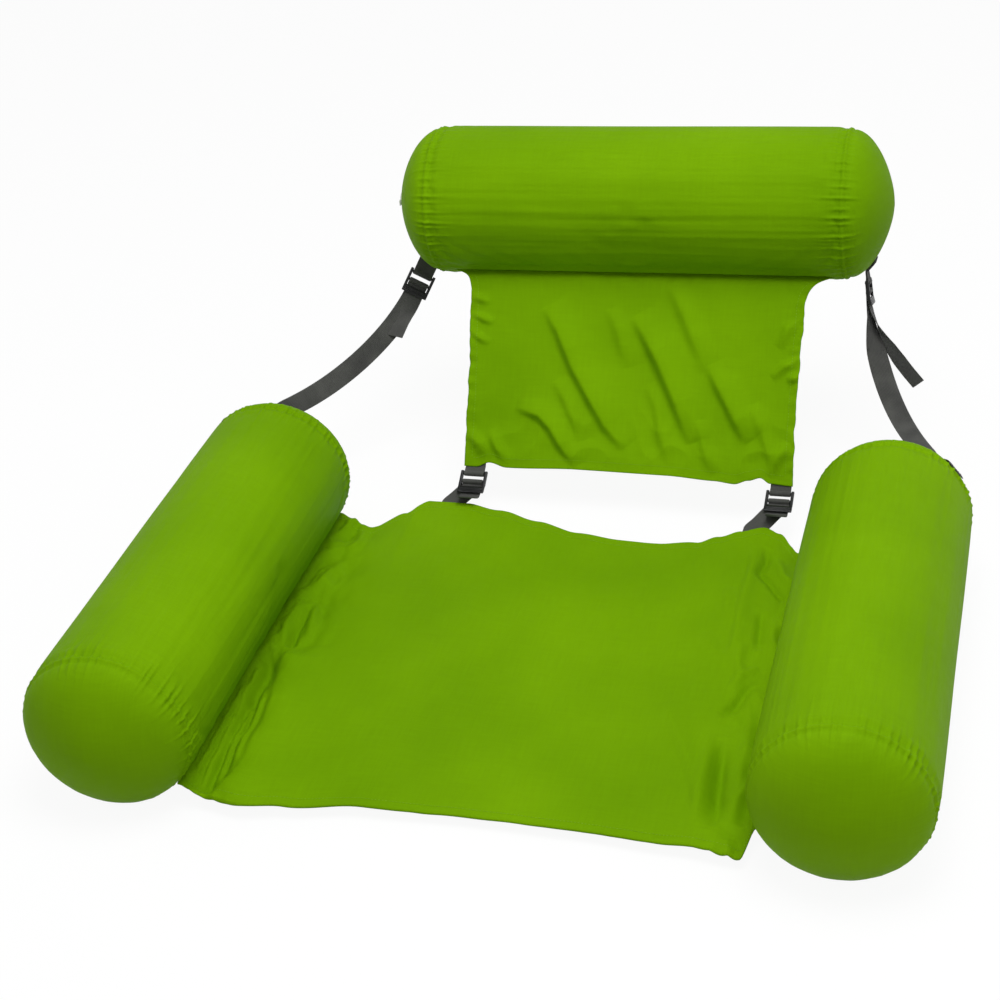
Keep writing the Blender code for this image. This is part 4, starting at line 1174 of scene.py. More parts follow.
def head_seam_point(x):
    """A point on the seam between the headrest and the back panel."""
    return HEAD_PLACE @ Vector((x, -SEAM_STEP, -SEAM_STEP))


def back_directions():
    """Length of the back panel at its middle, its direction up the panel and its front normal."""
    rise = head_seam_point(0.0) - chair_point(HEADREST_SHIFT, BACK_BOTTOM_SETBACK, BACK_BOTTOM_HEIGHT)
    rise.x = 0.0
    up = rise.normalized()
    return rise.length, up, Vector((0.0, -up.z, up.y))


BACK_LENGTH, BACK_UP, BACK_FRONT = back_directions()


def back_width(along):
    """Width of the back panel at a share of its height."""
    hump = 4 * along * (1 - along)
    return BACK_WIDTH_BOTTOM + (BACK_WIDTH_TOP - BACK_WIDTH_BOTTOM) * along - 2 * BACK_WAIST * hump


# %% Lay the folds over the back panel


def back_surface(across, along, drop=0.0):
    """Points of the back panel from shares across and up it."""
    hump = 4 * along * (1 - along)
    x = across * back_width(along) / 2
    rise = along * BACK_LENGTH
    for side, flare in BACK_FLARE.items():
        shape = np.exp((rise - BACK_LENGTH) / BACK_FLARE_HEIGHT[side])
        x = x + (across * side > 0) * across * flare * shape
    from_top = BACK_LENGTH - rise
    edge = bump(np.abs(across), 1.0, EDGE_WIDTH)
    ragged = EDGE_RAG * edge * stretched_field(rise, across, EDGE_RAGS, 12, 3)
    x = x + np.sign(across) * ragged * ease(rise / 0.03) * ease(from_top / 0.02)
    low = eased_table(BACK_LOWER_EDGE, x)
    held = bump(np.abs(x), CORNER_PLACE, CORNER_WIDTH) * bump(rise, 0.0, CORNER_HEIGHT)
    free = (1 - held) * ease(from_top / SEAM_CALM) * (0.25 + 0.75 * ease(rise / 0.02))
    flat = np.stack([x, rise * UPWARD, np.zeros(len(x))], axis=1)
    lift = fold_lift(x, rise, BACK_FOLDS)
    lift = lift + EDGE_PUCKER * edge * stretched_field(rise, across, EDGE_PUCKERS, 15, 2)
    lift = lift + BACK_CRUMPLE * creased(flat, 0.030, 14) * bump(rise, 0.03, 0.05)
    lift = lift + BACK_WAVE * field(flat, 0.10, 17, 2) * hump + BACK_RIPPLE * field(flat, 0.028, 18, 2)
    gather = BACK_GATHER * bump(from_top, BACK_GATHER_PLACE, BACK_GATHER_WIDTH)
    lift = lift * free + gather * stretched_field(x, rise, BACK_GATHERS, 16, 2)
    lift = lift - BACK_BILLOW * hump * (1 - across ** 2) - TUCK_DEPTH * bump(from_top, 0.0, TUCK_HEIGHT)
    base = np.array(chair_point(BACK_BOTTOM_SHIFT, BACK_BOTTOM_SETBACK, BACK_BOTTOM_HEIGHT))
    first, last = np.array(head_seam_point(0.0)), np.array(head_seam_point(1.0))
    bottom = base + np.outer(x, (1, 0, 0)) + np.outer(low, BACK_UP)
    top = first + np.outer(x, last - first)
    return bottom * (1 - along)[:, None] + top * along[:, None] + np.outer(lift - drop, BACK_FRONT)


# %% Sew the back panel
BACK_COLUMNS, BACK_ROWS = 232, 150
SEAM_BEND_REACHES = (0.066, 0.006)
seam_bend = {"blend_with": "headrest",
             "span": [tuple(head_seam_point(0.0) - BACK_UP * reach) for reach in SEAM_BEND_REACHES]}
back = cloth_grid("back_cloth", BACK_COLUMNS, BACK_ROWS, back_surface, (BACK_WIDTH_TOP, BACK_LENGTH))
back_area = add_cloth(back, ["back_panel"], **seam_bend)
low_hem = hem_strip("back_hem_lower", back_surface, (0.001, HEM / BACK_LENGTH), (BACK_WIDTH_TOP, HEM),
                    BACK_COLUMNS)
low_line = np.linspace(-0.95, 0.95, 160), (HEM - HEM_STITCH_INSET) / BACK_LENGTH
side_lines = [(side, np.linspace(0.05, 0.97, 120)) for side in (-0.955, 0.955)]
back_stitches = add_stitches(
    "back_stitches", [sewn_line(back_surface, across, along, tuple(BACK_FRONT))
                      for across, along in [low_line] + side_lines], "back", **seam_bend)

# %% [markdown]
# ## Webbing
#
# The straps are flat 25 mm webbing. A curve with a flat bevel would twist where it likes. Here
# each strap is a row of stations, each with its middle and its direction across, taken through
# the places where the real strap is sewn, wraps round a bar or hangs free. A rounded flat section
# is carried along them, so the webbing turns only where it is told to.

# %% Write the webbing helpers
LOCK_LENGTH, LOCK_HEIGHT = 0.0313, 0.0044
LOCK_INNER_WIDTH, LOCK_RAIL = 0.0265, 0.0035
LOOP_BAR_RADIUS, GRIP_BAR_RADIUS, GRIP_BAR_PLACE = 0.0018, 0.0017, 0.0110
TAB, LOOP_REACH, LOCK_CORNER_INSET = 0.016, 0.012, 0.014
SECTION_POINTS, SECTION_LEVEL, SECTION_RISE = 28, 0.32, 0.55
SEAM_OFFSET, END_ANGLE = 0.0003, 75.0
STITCH_EDGE, LEG_STEPS = 0.0035, 8
REFINE = 5


def section():
    """The rounded flat section of webbing, as shares of its half width and half thickness."""
    points = []
    for step in range(SECTION_POINTS):
        angle = math.tau * step / SECTION_POINTS
        level, rise = math.cos(angle), math.sin(angle)
        points.append((math.copysign(abs(level) ** SECTION_LEVEL, level),
                       math.copysign(abs(rise) ** SECTION_RISE, rise)))
    return points


def smooth_stations(stations):
    """More stations on a smooth line through the given ones, which it passes through."""
    places = [Vector(place) for place, across in stations]
    ways = [Vector(across).normalized() for place, across in stations]
    result = []
    last = len(places) - 1
    for i in range(last):
        a, b, c, d = places[max(i - 1, 0)], places[i], places[i + 1], places[min(i + 2, last)]
        for step in range(REFINE):
            t = step / REFINE
            point = 0.5 * ((2 * b) + (c - a) * t + (2 * a - 5 * b + 4 * c - d) * t * t
                           + (3 * b - a - 3 * c + d) * t ** 3)
            result.append((point, ways[i].lerp(ways[i + 1], t).normalized()))
    result.append((places[-1], ways[-1]))
    return result


def run_lengths(stations):
    """Distance along the stations, from the first."""
    lengths = [0.0]
    for (a, way), (b, other) in zip(stations, stations[1:]):
        lengths.append(lengths[-1] + (b - a).length)
    return lengths


# %% Carry the section along a strap


def carry_section(name, stations, first, last):
    """Webbing between two station numbers, closed at its ends, with UVs in metres."""
    outline = section()
    lengths = run_lengths(stations)
    points, uvs, faces = [], [], []
    for number in range(first, last + 1):
        place, across = stations[number]
        before = stations[max(number - 1, 0)][0]
        after = stations[min(number + 1, len(stations) - 1)][0]
        ahead = (after - before).normalized()
        side = (across - ahead * across.dot(ahead)).normalized()
        up = ahead.cross(side)
        for level, rise in outline:
            points.append(place + side * (level * WEBBING_WIDTH / 2) + up * (rise * WEBBING / 2))
            uvs.append((level * WEBBING_WIDTH / 2 + (0.0 if rise >= 0 else SEAM_OFFSET), lengths[number]))
    count = SECTION_POINTS
    last_ring = (last - first) * count
    for ring in range(0, last_ring, count):
        for step in range(count):
            a, b = ring + step, ring + (step + 1) % count
            faces.append((a, b, b + count, a + count))
    faces.append(tuple(reversed(range(count))))
    faces.append(tuple(range(last_ring, last_ring + count)))
    item = new_piece(name, points, faces, uvs)
    in_edit_mode(item)
    smooth_up_to(item, END_ANGLE)
    return item


# %% Route the webbing through a lock


def frame_matrix(origin, forward, across):
    """A local frame: X forward, Y across, Z square to both."""
    x = forward.normalized()
    y = (across - x * across.dot(x)).normalized()
    return Matrix.Translation(origin) @ Matrix((x, y, x.cross(y))).transposed().to_4x4()


def wrap_points(centre_x, radius, first, last, steps):
    """Points of an arc round a bar, in the lock's own X and Z."""
    angles = [math.radians(first + (last - first) * step / steps) for step in range(steps + 1)]
    return [(centre_x + radius * math.cos(angle), radius * math.sin(angle)) for angle in angles]


def threaded_points():
    """The strap inside the lock: in under the bars, back over the grip bar, out under the tab."""
    wrap = GRIP_BAR_RADIUS + GAP + WEBBING / 2
    under = -1.25 * WEBBING
    exit_x = GRIP_BAR_PLACE + wrap
    points = [(GRIP_BAR_PLACE + 2 * wrap, -wrap)]
    points += wrap_points(GRIP_BAR_PLACE, wrap, -90.0, -340.0, 8)
    points += [(exit_x + WEBBING / 2, under + WEBBING / 2), (exit_x + 1.8 * WEBBING, under + WEBBING / 6),
               (exit_x + 4 * WEBBING, under)]
    return points


def loop_points():
    """The loop round the loop bar, from its upper layer to its lower layer."""
    wrap = LOOP_BAR_RADIUS + GAP + WEBBING / 2
    layer = (WEBBING + GAP) / 2
    neck = -2.6 * wrap
    upper = [(neck, layer), (-1.25 * wrap, 1.7 * layer)]
    lower = [(-1.25 * wrap, -1.7 * layer), (neck, -layer)]
    return upper + wrap_points(0.0, wrap, 135.0, -135.0, 9) + lower


def in_frame(matrix, points):
    """Stations in a lock's frame, from (X, Z) points, with the webbing across its Y."""
    across = matrix.to_3x3() @ Vector((0.0, 1.0, 0.0))
    return [(matrix @ Vector((x, 0.0, z)), across) for x, z in points]


# %% Sew a box on the webbing


def cross_stitches(stations, low, high, lift):
    """A sewn box with a cross in it, on the face of the webbing between two run lengths."""
    lengths = run_lengths(stations)
    half = WEBBING_WIDTH / 2 - STITCH_EDGE

    def on_face(share_along, share_across):
        run = low + (high - low) * share_along
        number = min(max(int(np.searchsorted(lengths, run)), 1), len(stations) - 1)
        (a, way_a), (b, way_b) = stations[number - 1], stations[number]
        part = (run - lengths[number - 1]) / max(lengths[number] - lengths[number - 1], 1e-9)
        place, way = a.lerp(b, part), way_a.lerp(way_b, part).normalized()
        up = (b - a).normalized().cross(way) * math.copysign(1.0, lift)
        return place + way * half * share_across + up * abs(lift), up

    corners = [(0, -1), (1, -1), (1, 1), (0, 1), (0, -1), (1, 1)]
    legs = list(zip(corners, corners[1:])) + [((0, 1), (1, -1))]
    return [[on_face(a + (c - a) * step / LEG_STEPS, b + (d - b) * step / LEG_STEPS)
             for step in range(LEG_STEPS + 1)] for (a, b), (c, d) in legs]


# %% [markdown]
# ## Ladder locks
#
# A ladder lock is one moulding: two side rails, a bar for the sewn loop, a bar that the strap
# wraps, and a toothed tab that bites the strap and lifts to let it out. Each part is a simple
# extruded outline or a round bar, so they are drawn, joined with Booleans and given the small
# radius that a mould leaves.

# %% Model one lock
RAIL_SHARES = [(-0.121, -0.27), (-0.089, -0.5), (0.479, -0.5), (0.607, -0.09), (0.767, 0.05), (0.879, 0.41),
               (0.879, 0.86), (0.767, 0.77), (0.575, 0.55), (-0.083, 0.5), (-0.121, 0.27)]
TAB_SHARES = [(0.594, 0.08), (0.735, 0.10), (0.879, 0.43), (0.879, 0.84), (0.835, 0.80), (0.825, 0.92),
              (0.795, 0.89), (0.795, 0.76), (0.765, 0.73), (0.755, 0.85), (0.725, 0.82), (0.725, 0.69),
              (0.695, 0.66), (0.685, 0.78), (0.655, 0.75), (0.655, 0.62), (0.594, 0.52)]
BAR_SIDES = 32
TAB_EDGE, RAIL_EDGE = 0.0005, 0.0007


def extrude_outline(name, shares, width, centre, radius):
    """A prism from an outline in XZ, extruded along Y in edit mode, with its edges softened."""
    outline = [(LOCK_LENGTH * x, centre - width / 2, LOCK_HEIGHT * z) for x, z in shares]
    item = new_item(name, outline, faces=[tuple(range(len(outline)))])
    in_edit_mode(item, lambda: bpy.ops.mesh.extrude_region_move(
        TRANSFORM_OT_translate={"value": (0.0, width, 0.0)}))
    soften_edges(item, radius, 40)
    return item


def add_bar(name, radius, place):
    """A round bar across the lock."""
    bpy.ops.object.select_all(action="DESELECT")
    bpy.ops.mesh.primitive_cylinder_add(
        vertices=BAR_SIDES, radius=radius, depth=LOCK_INNER_WIDTH + LOCK_RAIL, location=(place, 0, 0),
        rotation=(math.pi / 2, 0, 0))
    item = bpy.context.object
    item.name = name
    return item


# %% Join the lock


def fuse(item, others, smooth_angle):
    """Join pieces into one with Booleans, and shade the result."""
    for other in others:
        finish_with(item, "BOOLEAN", operation="UNION", solver="EXACT", object=other)
    for other in others:
        bpy.data.objects.remove(other)
    smooth_up_to(item, smooth_angle)
    return item


def model_lock():
    """One ladder lock at the origin."""
    width, rail_y = LOCK_INNER_WIDTH + LOCK_RAIL, (LOCK_INNER_WIDTH + LOCK_RAIL) / 2
    body = extrude_outline("lock_rail", RAIL_SHARES, LOCK_RAIL, rail_y, RAIL_EDGE)
    others = [extrude_outline("lock_rail_other", RAIL_SHARES, LOCK_RAIL, -rail_y, RAIL_EDGE),
              extrude_outline("lock_tab", TAB_SHARES, width, 0.0, TAB_EDGE),
              add_bar("lock_loop_bar", LOOP_BAR_RADIUS, 0.0),
              add_bar("lock_grip_bar", GRIP_BAR_RADIUS, GRIP_BAR_PLACE)]
    return fuse(body, others, 38)


lock_pattern = model_lock()
print("lock has", len(lock_pattern.data.polygons), "faces")


def place_lock(name, matrix):
    """A copy of the lock in its place, with its own mesh."""
    item = lock_pattern.copy()
    item.data = lock_pattern.data.copy()
    item.name = name + "_moulding"
    bpy.context.scene.collection.objects.link(item)
    item.data.transform(matrix)
    item.data.update()
    dress(item, black_plastic, "black_plastic", name, [name])


# %% [markdown]
# ## The two short straps
#
# A short strap is sewn under each rear tip of the seat, runs back to the ladder lock, wraps its
# grip bar and ends in a free tail. The lock hangs in a loop of webbing sewn behind the lower
# corner of the back panel. The strap turns with its lock.

# %% Make the short straps
LOWER_TAIL_LENGTH, LOWER_TAIL_RISE = 0.040, 0.0155
LOWER_TAIL_SHARES = [(0.68, -0.05), (0.83, 0.13), (0.93, 0.50), (1.0, 1.0)]
SEWN_REACHES, LEAD_SHARES = (1.6 * TAB, TAB, TAB / 5, 0.0), (0.3, 0.65)
STITCH_START = 0.003
LAYER = FABRIC / 2 + GAP + WEBBING / 2


def plain_seat_place(x, along):
    """A point of the seat without its folds."""
    place = np.array([x])
    front, rear = eased_table(SEAT_FRONT_EDGE, place), eased_table(SEAT_REAR_EDGE, place)
    height = seat_height(place, np.array([along]), rear)
    return chair_point(x, float((-front + (front + rear) * along)[0]), float(height[0]))


def tip_station(name, reach, depth):
    """A point under the seat, a reach in front of a rear tip, and its direction across."""
    x = SEAT_TIP_X[name]
    span = sum(float(eased_table(edge, np.array([x]))[0]) for edge in (SEAT_FRONT_EDGE, SEAT_REAR_EDGE))
    along = 1 - reach / span
    place = plain_seat_place(x, along)
    ahead = (place - plain_seat_place(x, along - TAB / span)).normalized()
    across = (plain_seat_place(x + WEBBING_WIDTH / 2, along)
              - plain_seat_place(x - WEBBING_WIDTH / 2, along)).normalized()
    return place - across.cross(ahead) * depth, across


# %% Find the hinge


def plain_back_place(x, rise):
    """A point of the back panel near its lower edge, without its folds."""
    along = rise / BACK_LENGTH
    low = chair_point(BACK_BOTTOM_SHIFT, BACK_BOTTOM_SETBACK, BACK_BOTTOM_HEIGHT)
    hump = 4 * along * (1 - along)
    across = (x - BACK_BOTTOM_SHIFT) * 2 / back_width(along)
    lift = -BACK_BILLOW * hump * (1 - across ** 2)
    start = low + Vector((x - BACK_BOTTOM_SHIFT, 0.0, 0.0))
    return start.lerp(head_seam_point(x - BACK_BOTTOM_SHIFT), along) + BACK_FRONT * lift


def hinge_point():
    """A point on the line through both lower loop bars, on which the back swings."""
    bottom = chair_point(0.0, BACK_BOTTOM_SETBACK, BACK_BOTTOM_HEIGHT)
    forward = (chair_point(0.0, SEAT_TIP, SEAT_HEIGHT) - bottom).normalized()
    down = Vector((1.0, 0.0, 0.0)).cross(forward)
    return bottom + forward * LOOP_REACH + down * (FABRIC / 2 + 1.5 * GAP + 2 * WEBBING)


# %% Sew a short strap


def add_loop(name, stations, body):
    """The sewn loop that holds a lock."""
    stations = smooth_stations(stations)
    piece = carry_section(name + "_webbing", stations, 0, len(stations) - 1)
    dress(piece, webbing_cloth, "charcoal_webbing", body, [name])


def make_short_strap(name):
    """Loop, lock and strap of one lower corner."""
    across = Vector((1.0, 0.0, 0.0))
    origin = hinge_point()
    origin.x = BACK_BOTTOM_SHIFT + SIDES[name] * (BACK_WIDTH_BOTTOM / 2 - LOCK_CORNER_INSET)
    forward = plain_seat_place(SEAT_TIP_X[name], 1.0) - origin
    forward.x = 0.0
    frame_here = frame_matrix(origin, forward, across)
    layers = [[(plain_back_place(origin.x, reach) - BACK_FRONT * depth, across)
               for reach in (TAB, -TAB / 16)]
              for depth in (LAYER, LAYER + GAP + WEBBING)]
    route = layers[0] + in_frame(frame_here, loop_points()) + layers[1][::-1]
    add_loop("loop_lower_" + name, route, "back")
    under = [tip_station(name, reach, LAYER + GAP) for reach in SEWN_REACHES]
    inside = threaded_points()
    start = frame_here @ Vector((inside[0][0], 0.0, inside[0][1]))
    lead = [(under[-1][0].lerp(start, share), across) for share in LEAD_SHARES]
    for place, way in lead:
        place.z = (frame_here @ Vector(((frame_here.inverted() @ place).x, 0.0, inside[0][1]))).z
    tail = [(LOWER_TAIL_LENGTH * share, LOWER_TAIL_RISE * rise) for share, rise in LOWER_TAIL_SHARES]
    strap = smooth_stations(under + lead + in_frame(frame_here, inside + tail))
    sewn, span = len(under) - 1, [tuple(strap[(len(under) + step) * REFINE][0]) for step in (0, 2)]
    piece = carry_section("strap_lower_" + name + "_webbing", strap, 0, len(strap) - 1)
    dress(piece, webbing_cloth, "charcoal_webbing", "seat", ["strap_lower_" + name],
          blend_with="lock_lower_" + name, span=span)
    place_lock("lock_lower_" + name, frame_here)
    lengths = run_lengths(strap)
    box = cross_stitches(strap, STITCH_START, lengths[sewn * REFINE] - 0.002, -WEBBING / 2)
    add_stitches("strap_lower_" + name + "_stitches", box, "seat", dark_thread, "charcoal_webbing")
    print("short strap", name, round(lengths[-1], 3), "m")


for name in SIDES:
    make_short_strap(name)

# %% [markdown]
# ## The two long straps
#
# A long strap is sewn to the rear dome of an armrest, climbs in a slack curve to the ladder lock
# under the end of the headrest, wraps its grip bar and ends in a long tail. It crosses four
# joints, so it is cut into pieces that meet in the same section, one for each link of the chain
# armrest, seat, back, headrest and lock.

# %% Make the long straps
ARM_ANCHOR, ARM_ANCHOR_SWEEP = (38.0, 4.0), (0.0, 24.0)
HEAD_ANCHOR = {"left": (260.0, 27.0), "right": (262.0, 22.0)}
HEAD_ANCHOR_SWEEP = {"left": (10.0, 0.0), "right": (0.0, 13.0)}
SIDE_LOOP_REACH = {"left": 0.024, "right": 0.016}
STRAP_DROP, STRAP_DROP_REACH = {"left": 50.0, "right": 70.0}, {"left": 0.092, "right": 0.140}
STRAP_RISE, STRAP_RISE_REACH = {"left": 28.0, "right": 34.0}, {"left": 0.110, "right": 0.130}
STRAP_REARWARD = 0.3
STRAP_TURNS = [(0.0, 0.0), (0.04, 0.0), (0.28, 1.0), (0.72, 1.0), (1.0, 2.0)]
SIDE_TAIL_LENGTH, SIDE_TAIL_SPREAD = {"left": 0.085, "right": 0.130}, {"left": 0.012, "right": 0.050}
SIDE_TAIL_TWIST = {"left": 40.0, "right": -50.0}
TAIL_STEPS, TAIL_CURVE, TAIL_TWIST_STEPS = 7, 1.6, 4
STRAP_FACE = {"left": (-0.78, 0.03, 0.63), "right": (0.97, 0.10, 0.05)}
SPAN_STEPS, SEWN_STEPS = 16, 4
SPLITS = {"left": (0.36, 0.80, 0.92, 0.98), "right": (0.30, 0.66, 0.82, 0.90)}


# %% Lay webbing over a dome


def dome_point(place, axis, angle, turn, standoff):
    """A point above a tube's dome, and the dome's normal there."""
    level, rise = math.cos(math.radians(angle)), math.sin(math.radians(angle))
    radial = Vector((0.0, level, rise)) if axis.x else Vector((level, 0.0, rise))
    rim = TUBE_RADIUS - SEAM_DRAW_IN

    def dome(degrees):
        turned = math.radians(degrees)
        return rim * math.cos(turned) ** DOME_ROUND, DOME_HEIGHT * math.sin(turned)

    radius, height = dome(turn)
    next_radius, next_height = dome(turn + 0.5)
    normal = (radial * (next_height - height) + axis * (radius - next_radius)).normalized()
    point = axis * (TUBE_HALF + GAP + height) + radial * radius + normal * standoff
    return place @ point, place.to_3x3() @ normal


def sewn_stations(place, axis, start, sweep, standoff):
    """Webbing laid over a dome."""
    points = [dome_point(place, axis, start[0] + sweep[0] * step / SEWN_STEPS,
                         start[1] + sweep[1] * step / SEWN_STEPS, standoff) for step in range(SEWN_STEPS + 1)]
    travel = (points[-1][0] - points[0][0]).normalized()
    return [(point, travel.cross(normal).normalized()) for point, normal in points]


def facing(stations, across):
    """The same stations, with each direction across turned to agree with a given one."""
    return [(place, way if way.dot(across) > 0 else -way) for place, way in stations]


# %% Route a long strap


def bezier(handles, t):
    """A point of a cubic Bezier curve."""
    a, b, c, d = handles
    s = 1 - t
    return a * s ** 3 + b * 3 * s * s * t + c * 3 * s * t * t + d * t ** 3


def long_strap_route(name, side):
    """Stations of the headrest loop and of the long strap, the lock's frame, and marks on the strap."""
    arm_place = ARM_PLACES[name]
    out = Vector((side, 0.0, 0.0))
    first = WEBBING / 2 + GAP
    near, far = [sewn_stations(HEAD_PLACE, out, HEAD_ANCHOR[name], HEAD_ANCHOR_SWEEP[name], standoff)
                 for standoff in (first, first + WEBBING + GAP)]
    leave, normal = dome_point(HEAD_PLACE, out, *HEAD_ANCHOR[name], first)
    angle, turn = ARM_ANCHOR
    swing, climb = ARM_ANCHOR_SWEEP
    start = (angle if side > 0 else 180.0 - angle, turn)
    anchors = sewn_stations(arm_place, Vector((0.0, 1.0, 0.0)), start, (swing * side, climb), first)
    arm_leave = anchors[-1][0]
    level = arm_leave - leave
    level.z = 0.0
    level.normalize()
    drop = math.radians(STRAP_DROP[name])
    forward = level * math.cos(drop) - Vector((0.0, 0.0, math.sin(drop)))
    across = near[0][1]
    if forward.cross(across).dot(Vector((side, -1.0, 0.0))) < 0:
        across = -across
    hang = forward * SIDE_LOOP_REACH[name] + normal * (GAP + WEBBING) / 2
    lock_frame = frame_matrix(leave + hang, forward, across)
    across = lock_frame.to_3x3() @ Vector((0.0, 1.0, 0.0))
    top = lock_frame.to_3x3() @ Vector((0.0, 0.0, 1.0))
    upper, lower = (near, far) if top.dot(normal) < 0 else (far, near)
    loop = facing(upper, across)[::-1] + in_frame(lock_frame, loop_points()) + facing(lower, across)
    inside = in_frame(lock_frame, threaded_points())
    exit_point = inside[0][0]
    rise = math.radians(STRAP_RISE[name])
    landing = -level * math.cos(rise) - Vector((0.0, 0.0, math.sin(rise)))
    landing = (landing + Vector((0.0, STRAP_REARWARD, 0.0))).normalized()
    handles = [arm_leave, arm_leave + landing * STRAP_RISE_REACH[name],
               exit_point + forward * STRAP_DROP_REACH[name], exit_point]
    anchors = facing(anchors, across)
    strap = anchors[:-1]
    flat = Vector(STRAP_FACE[name])
    flat = flat if flat.dot(across) > 0 else -flat
    ways = [anchors[-1][1], flat, across, across]
    for step in range(SPAN_STEPS):
        t = step / SPAN_STEPS
        place = bezier(handles, t)
        ahead = (bezier(handles, t + 0.5 / SPAN_STEPS) - place).normalized()
        turned = float(eased_table(STRAP_TURNS, np.array([t]))[0])
        mix = ways[int(turned)].lerp(ways[int(turned) + 1], turned - int(turned))
        strap.append((place, mix - ahead * mix.dot(ahead)))
    last_x, last_z = threaded_points()[-1]
    shares = [step / TAIL_STEPS for step in range(1, TAIL_STEPS + 1)]
    tail = in_frame(lock_frame, [(last_x + (SIDE_TAIL_LENGTH[name] - last_x) * share,
                                  last_z + SIDE_TAIL_SPREAD[name] * share ** TAIL_CURVE) for share in shares])
    for step, (place, way) in enumerate(tail):
        ahead = (tail[min(step + 1, TAIL_STEPS - 1)][0] - tail[max(step - 1, 0)][0]).normalized()
        turned = math.radians(SIDE_TAIL_TWIST[name]) * float(ease(step / TAIL_TWIST_STEPS))
        twist = Matrix.Rotation(turned, 3, ahead)
        tail[step] = (place, twist @ way)
    return loop, strap + inside + tail, lock_frame, (SEWN_STEPS, SEWN_STEPS + SPAN_STEPS)


# %% Cut and dress a long strap


def make_long_strap(name, side):
    """Loop, lock and the pieces of one long strap."""
    loop, strap, lock_frame, (leaves, enters) = long_strap_route(name, side)
    add_loop("loop_upper_" + name, loop, "headrest")
    strap = smooth_stations(strap)
    leaves, enters = leaves * REFINE, enters * REFINE
    cuts = [leaves + round((enters - leaves) * share) for share in SPLITS[name]]
    chain = ["arm_" + name, "seat", "back", "headrest", "lock_upper_" + name]
    bounds = [0] + cuts + [len(strap) - 1]
    for number, (low, high) in enumerate(zip(bounds, bounds[1:])):
        piece = carry_section("strap_side_" + name + "_webbing_" + str(number + 1), strap, low, high)
        nodes = ["strap_side_" + name] if number == 0 else []
        span = {}
        if number + 1 < len(chain):
            span = {"blend_with": chain[number + 1],
                    "span": (tuple(strap[max(low, leaves) + 1][0]), tuple(strap[high - 1][0]))}
        dress(piece, webbing_cloth, "charcoal_webbing", chain[number], nodes, **span)
    place_lock("lock_upper_" + name, lock_frame)
    lengths = run_lengths(strap)
    box = cross_stitches(strap, STITCH_START, lengths[leaves] - 0.001, WEBBING / 2 * -side)
    add_stitches("strap_side_" + name + "_stitches", box, "arm_" + name, dark_thread, "charcoal_webbing")
    free = lengths[enters] - lengths[leaves]
    print("long strap", name, round(lengths[-1], 3), "m,", round(free, 3), "m free")


for name, side in SIDES.items():
    make_long_strap(name, side)
bpy.data.objects.remove(lock_pattern)

# %% [markdown]
# ## Valves and plugs
#
# Each bladder has an inflation valve: a short soft neck with a rounded lip, which comes out through
# a hole in one cloth disc, and a plug with a small tab to pull it by. They are turned pieces, so
# each is an outline spun round its axis, with far more steps than its solid has.

# %% Turn a valve and a plug
NECK_RADIUS, NECK_BORE, NECK_STAND = 0.0092, 0.0062, 0.0015
FLANGE_RADIUS, FLANGE_THICKNESS, FLANGE_DEPTH = 0.0150, 0.0012, 0.0053
PLUG_HEAD, PLUG_HEAD_RADIUS, PLUG_STEM, PLUG_TIP = 0.0016, 0.0088, 0.0085, 0.0012
DISH_SHARES, DISH_HEIGHT_SHARE = (0.55, 0.62), 0.8
PLUG_LIP, PLUG_LIP_WIDTH, PLUG_LIP_EDGE = 0.0050, 0.0070, 0.0005
VALVE_SIDES, VALVE_EDGE, VALVE_SMOOTH = 64, 0.0003, 40
POLE = TUBE_HALF + GAP + DOME_HEIGHT


def spin_outline(name, outline, closed):
    """A turned piece from an outline of (radius, height), with its corners rounded."""
    last = len(outline) - 1
    edges = [(i, i + 1) for i in range(last)] + ([(last, 0)] if closed else [])
    item = new_item(name, [(radius, 0.0, height) for radius, height in outline], edges)
    spin_round(item, VALVE_SIDES, 0.00001)
    soften_edges(item, VALVE_EDGE, 35)
    smooth_up_to(item, VALVE_SMOOTH)
    return item


# %% Shape the plug's tab


def plug_lip(base):
    """The small tab that the plug is pulled by."""
    bpy.ops.object.select_all(action="DESELECT")
    low, high = PLUG_HEAD_RADIUS * math.cos(math.pi / 4), PLUG_HEAD_RADIUS + PLUG_LIP
    bpy.ops.mesh.primitive_cube_add(size=1.0, location=((low + high) / 2, 0.0, base + PLUG_HEAD / 2),
                                    scale=(high - low, PLUG_LIP_WIDTH, PLUG_HEAD))
    lip = bpy.context.object
    bpy.ops.object.transform_apply(location=True, rotation=True, scale=True)
    in_edit_mode(lip, lambda: bpy.ops.mesh.bevel(offset=PLUG_LIP_EDGE, segments=3))
    return lip


# %% Put a valve together


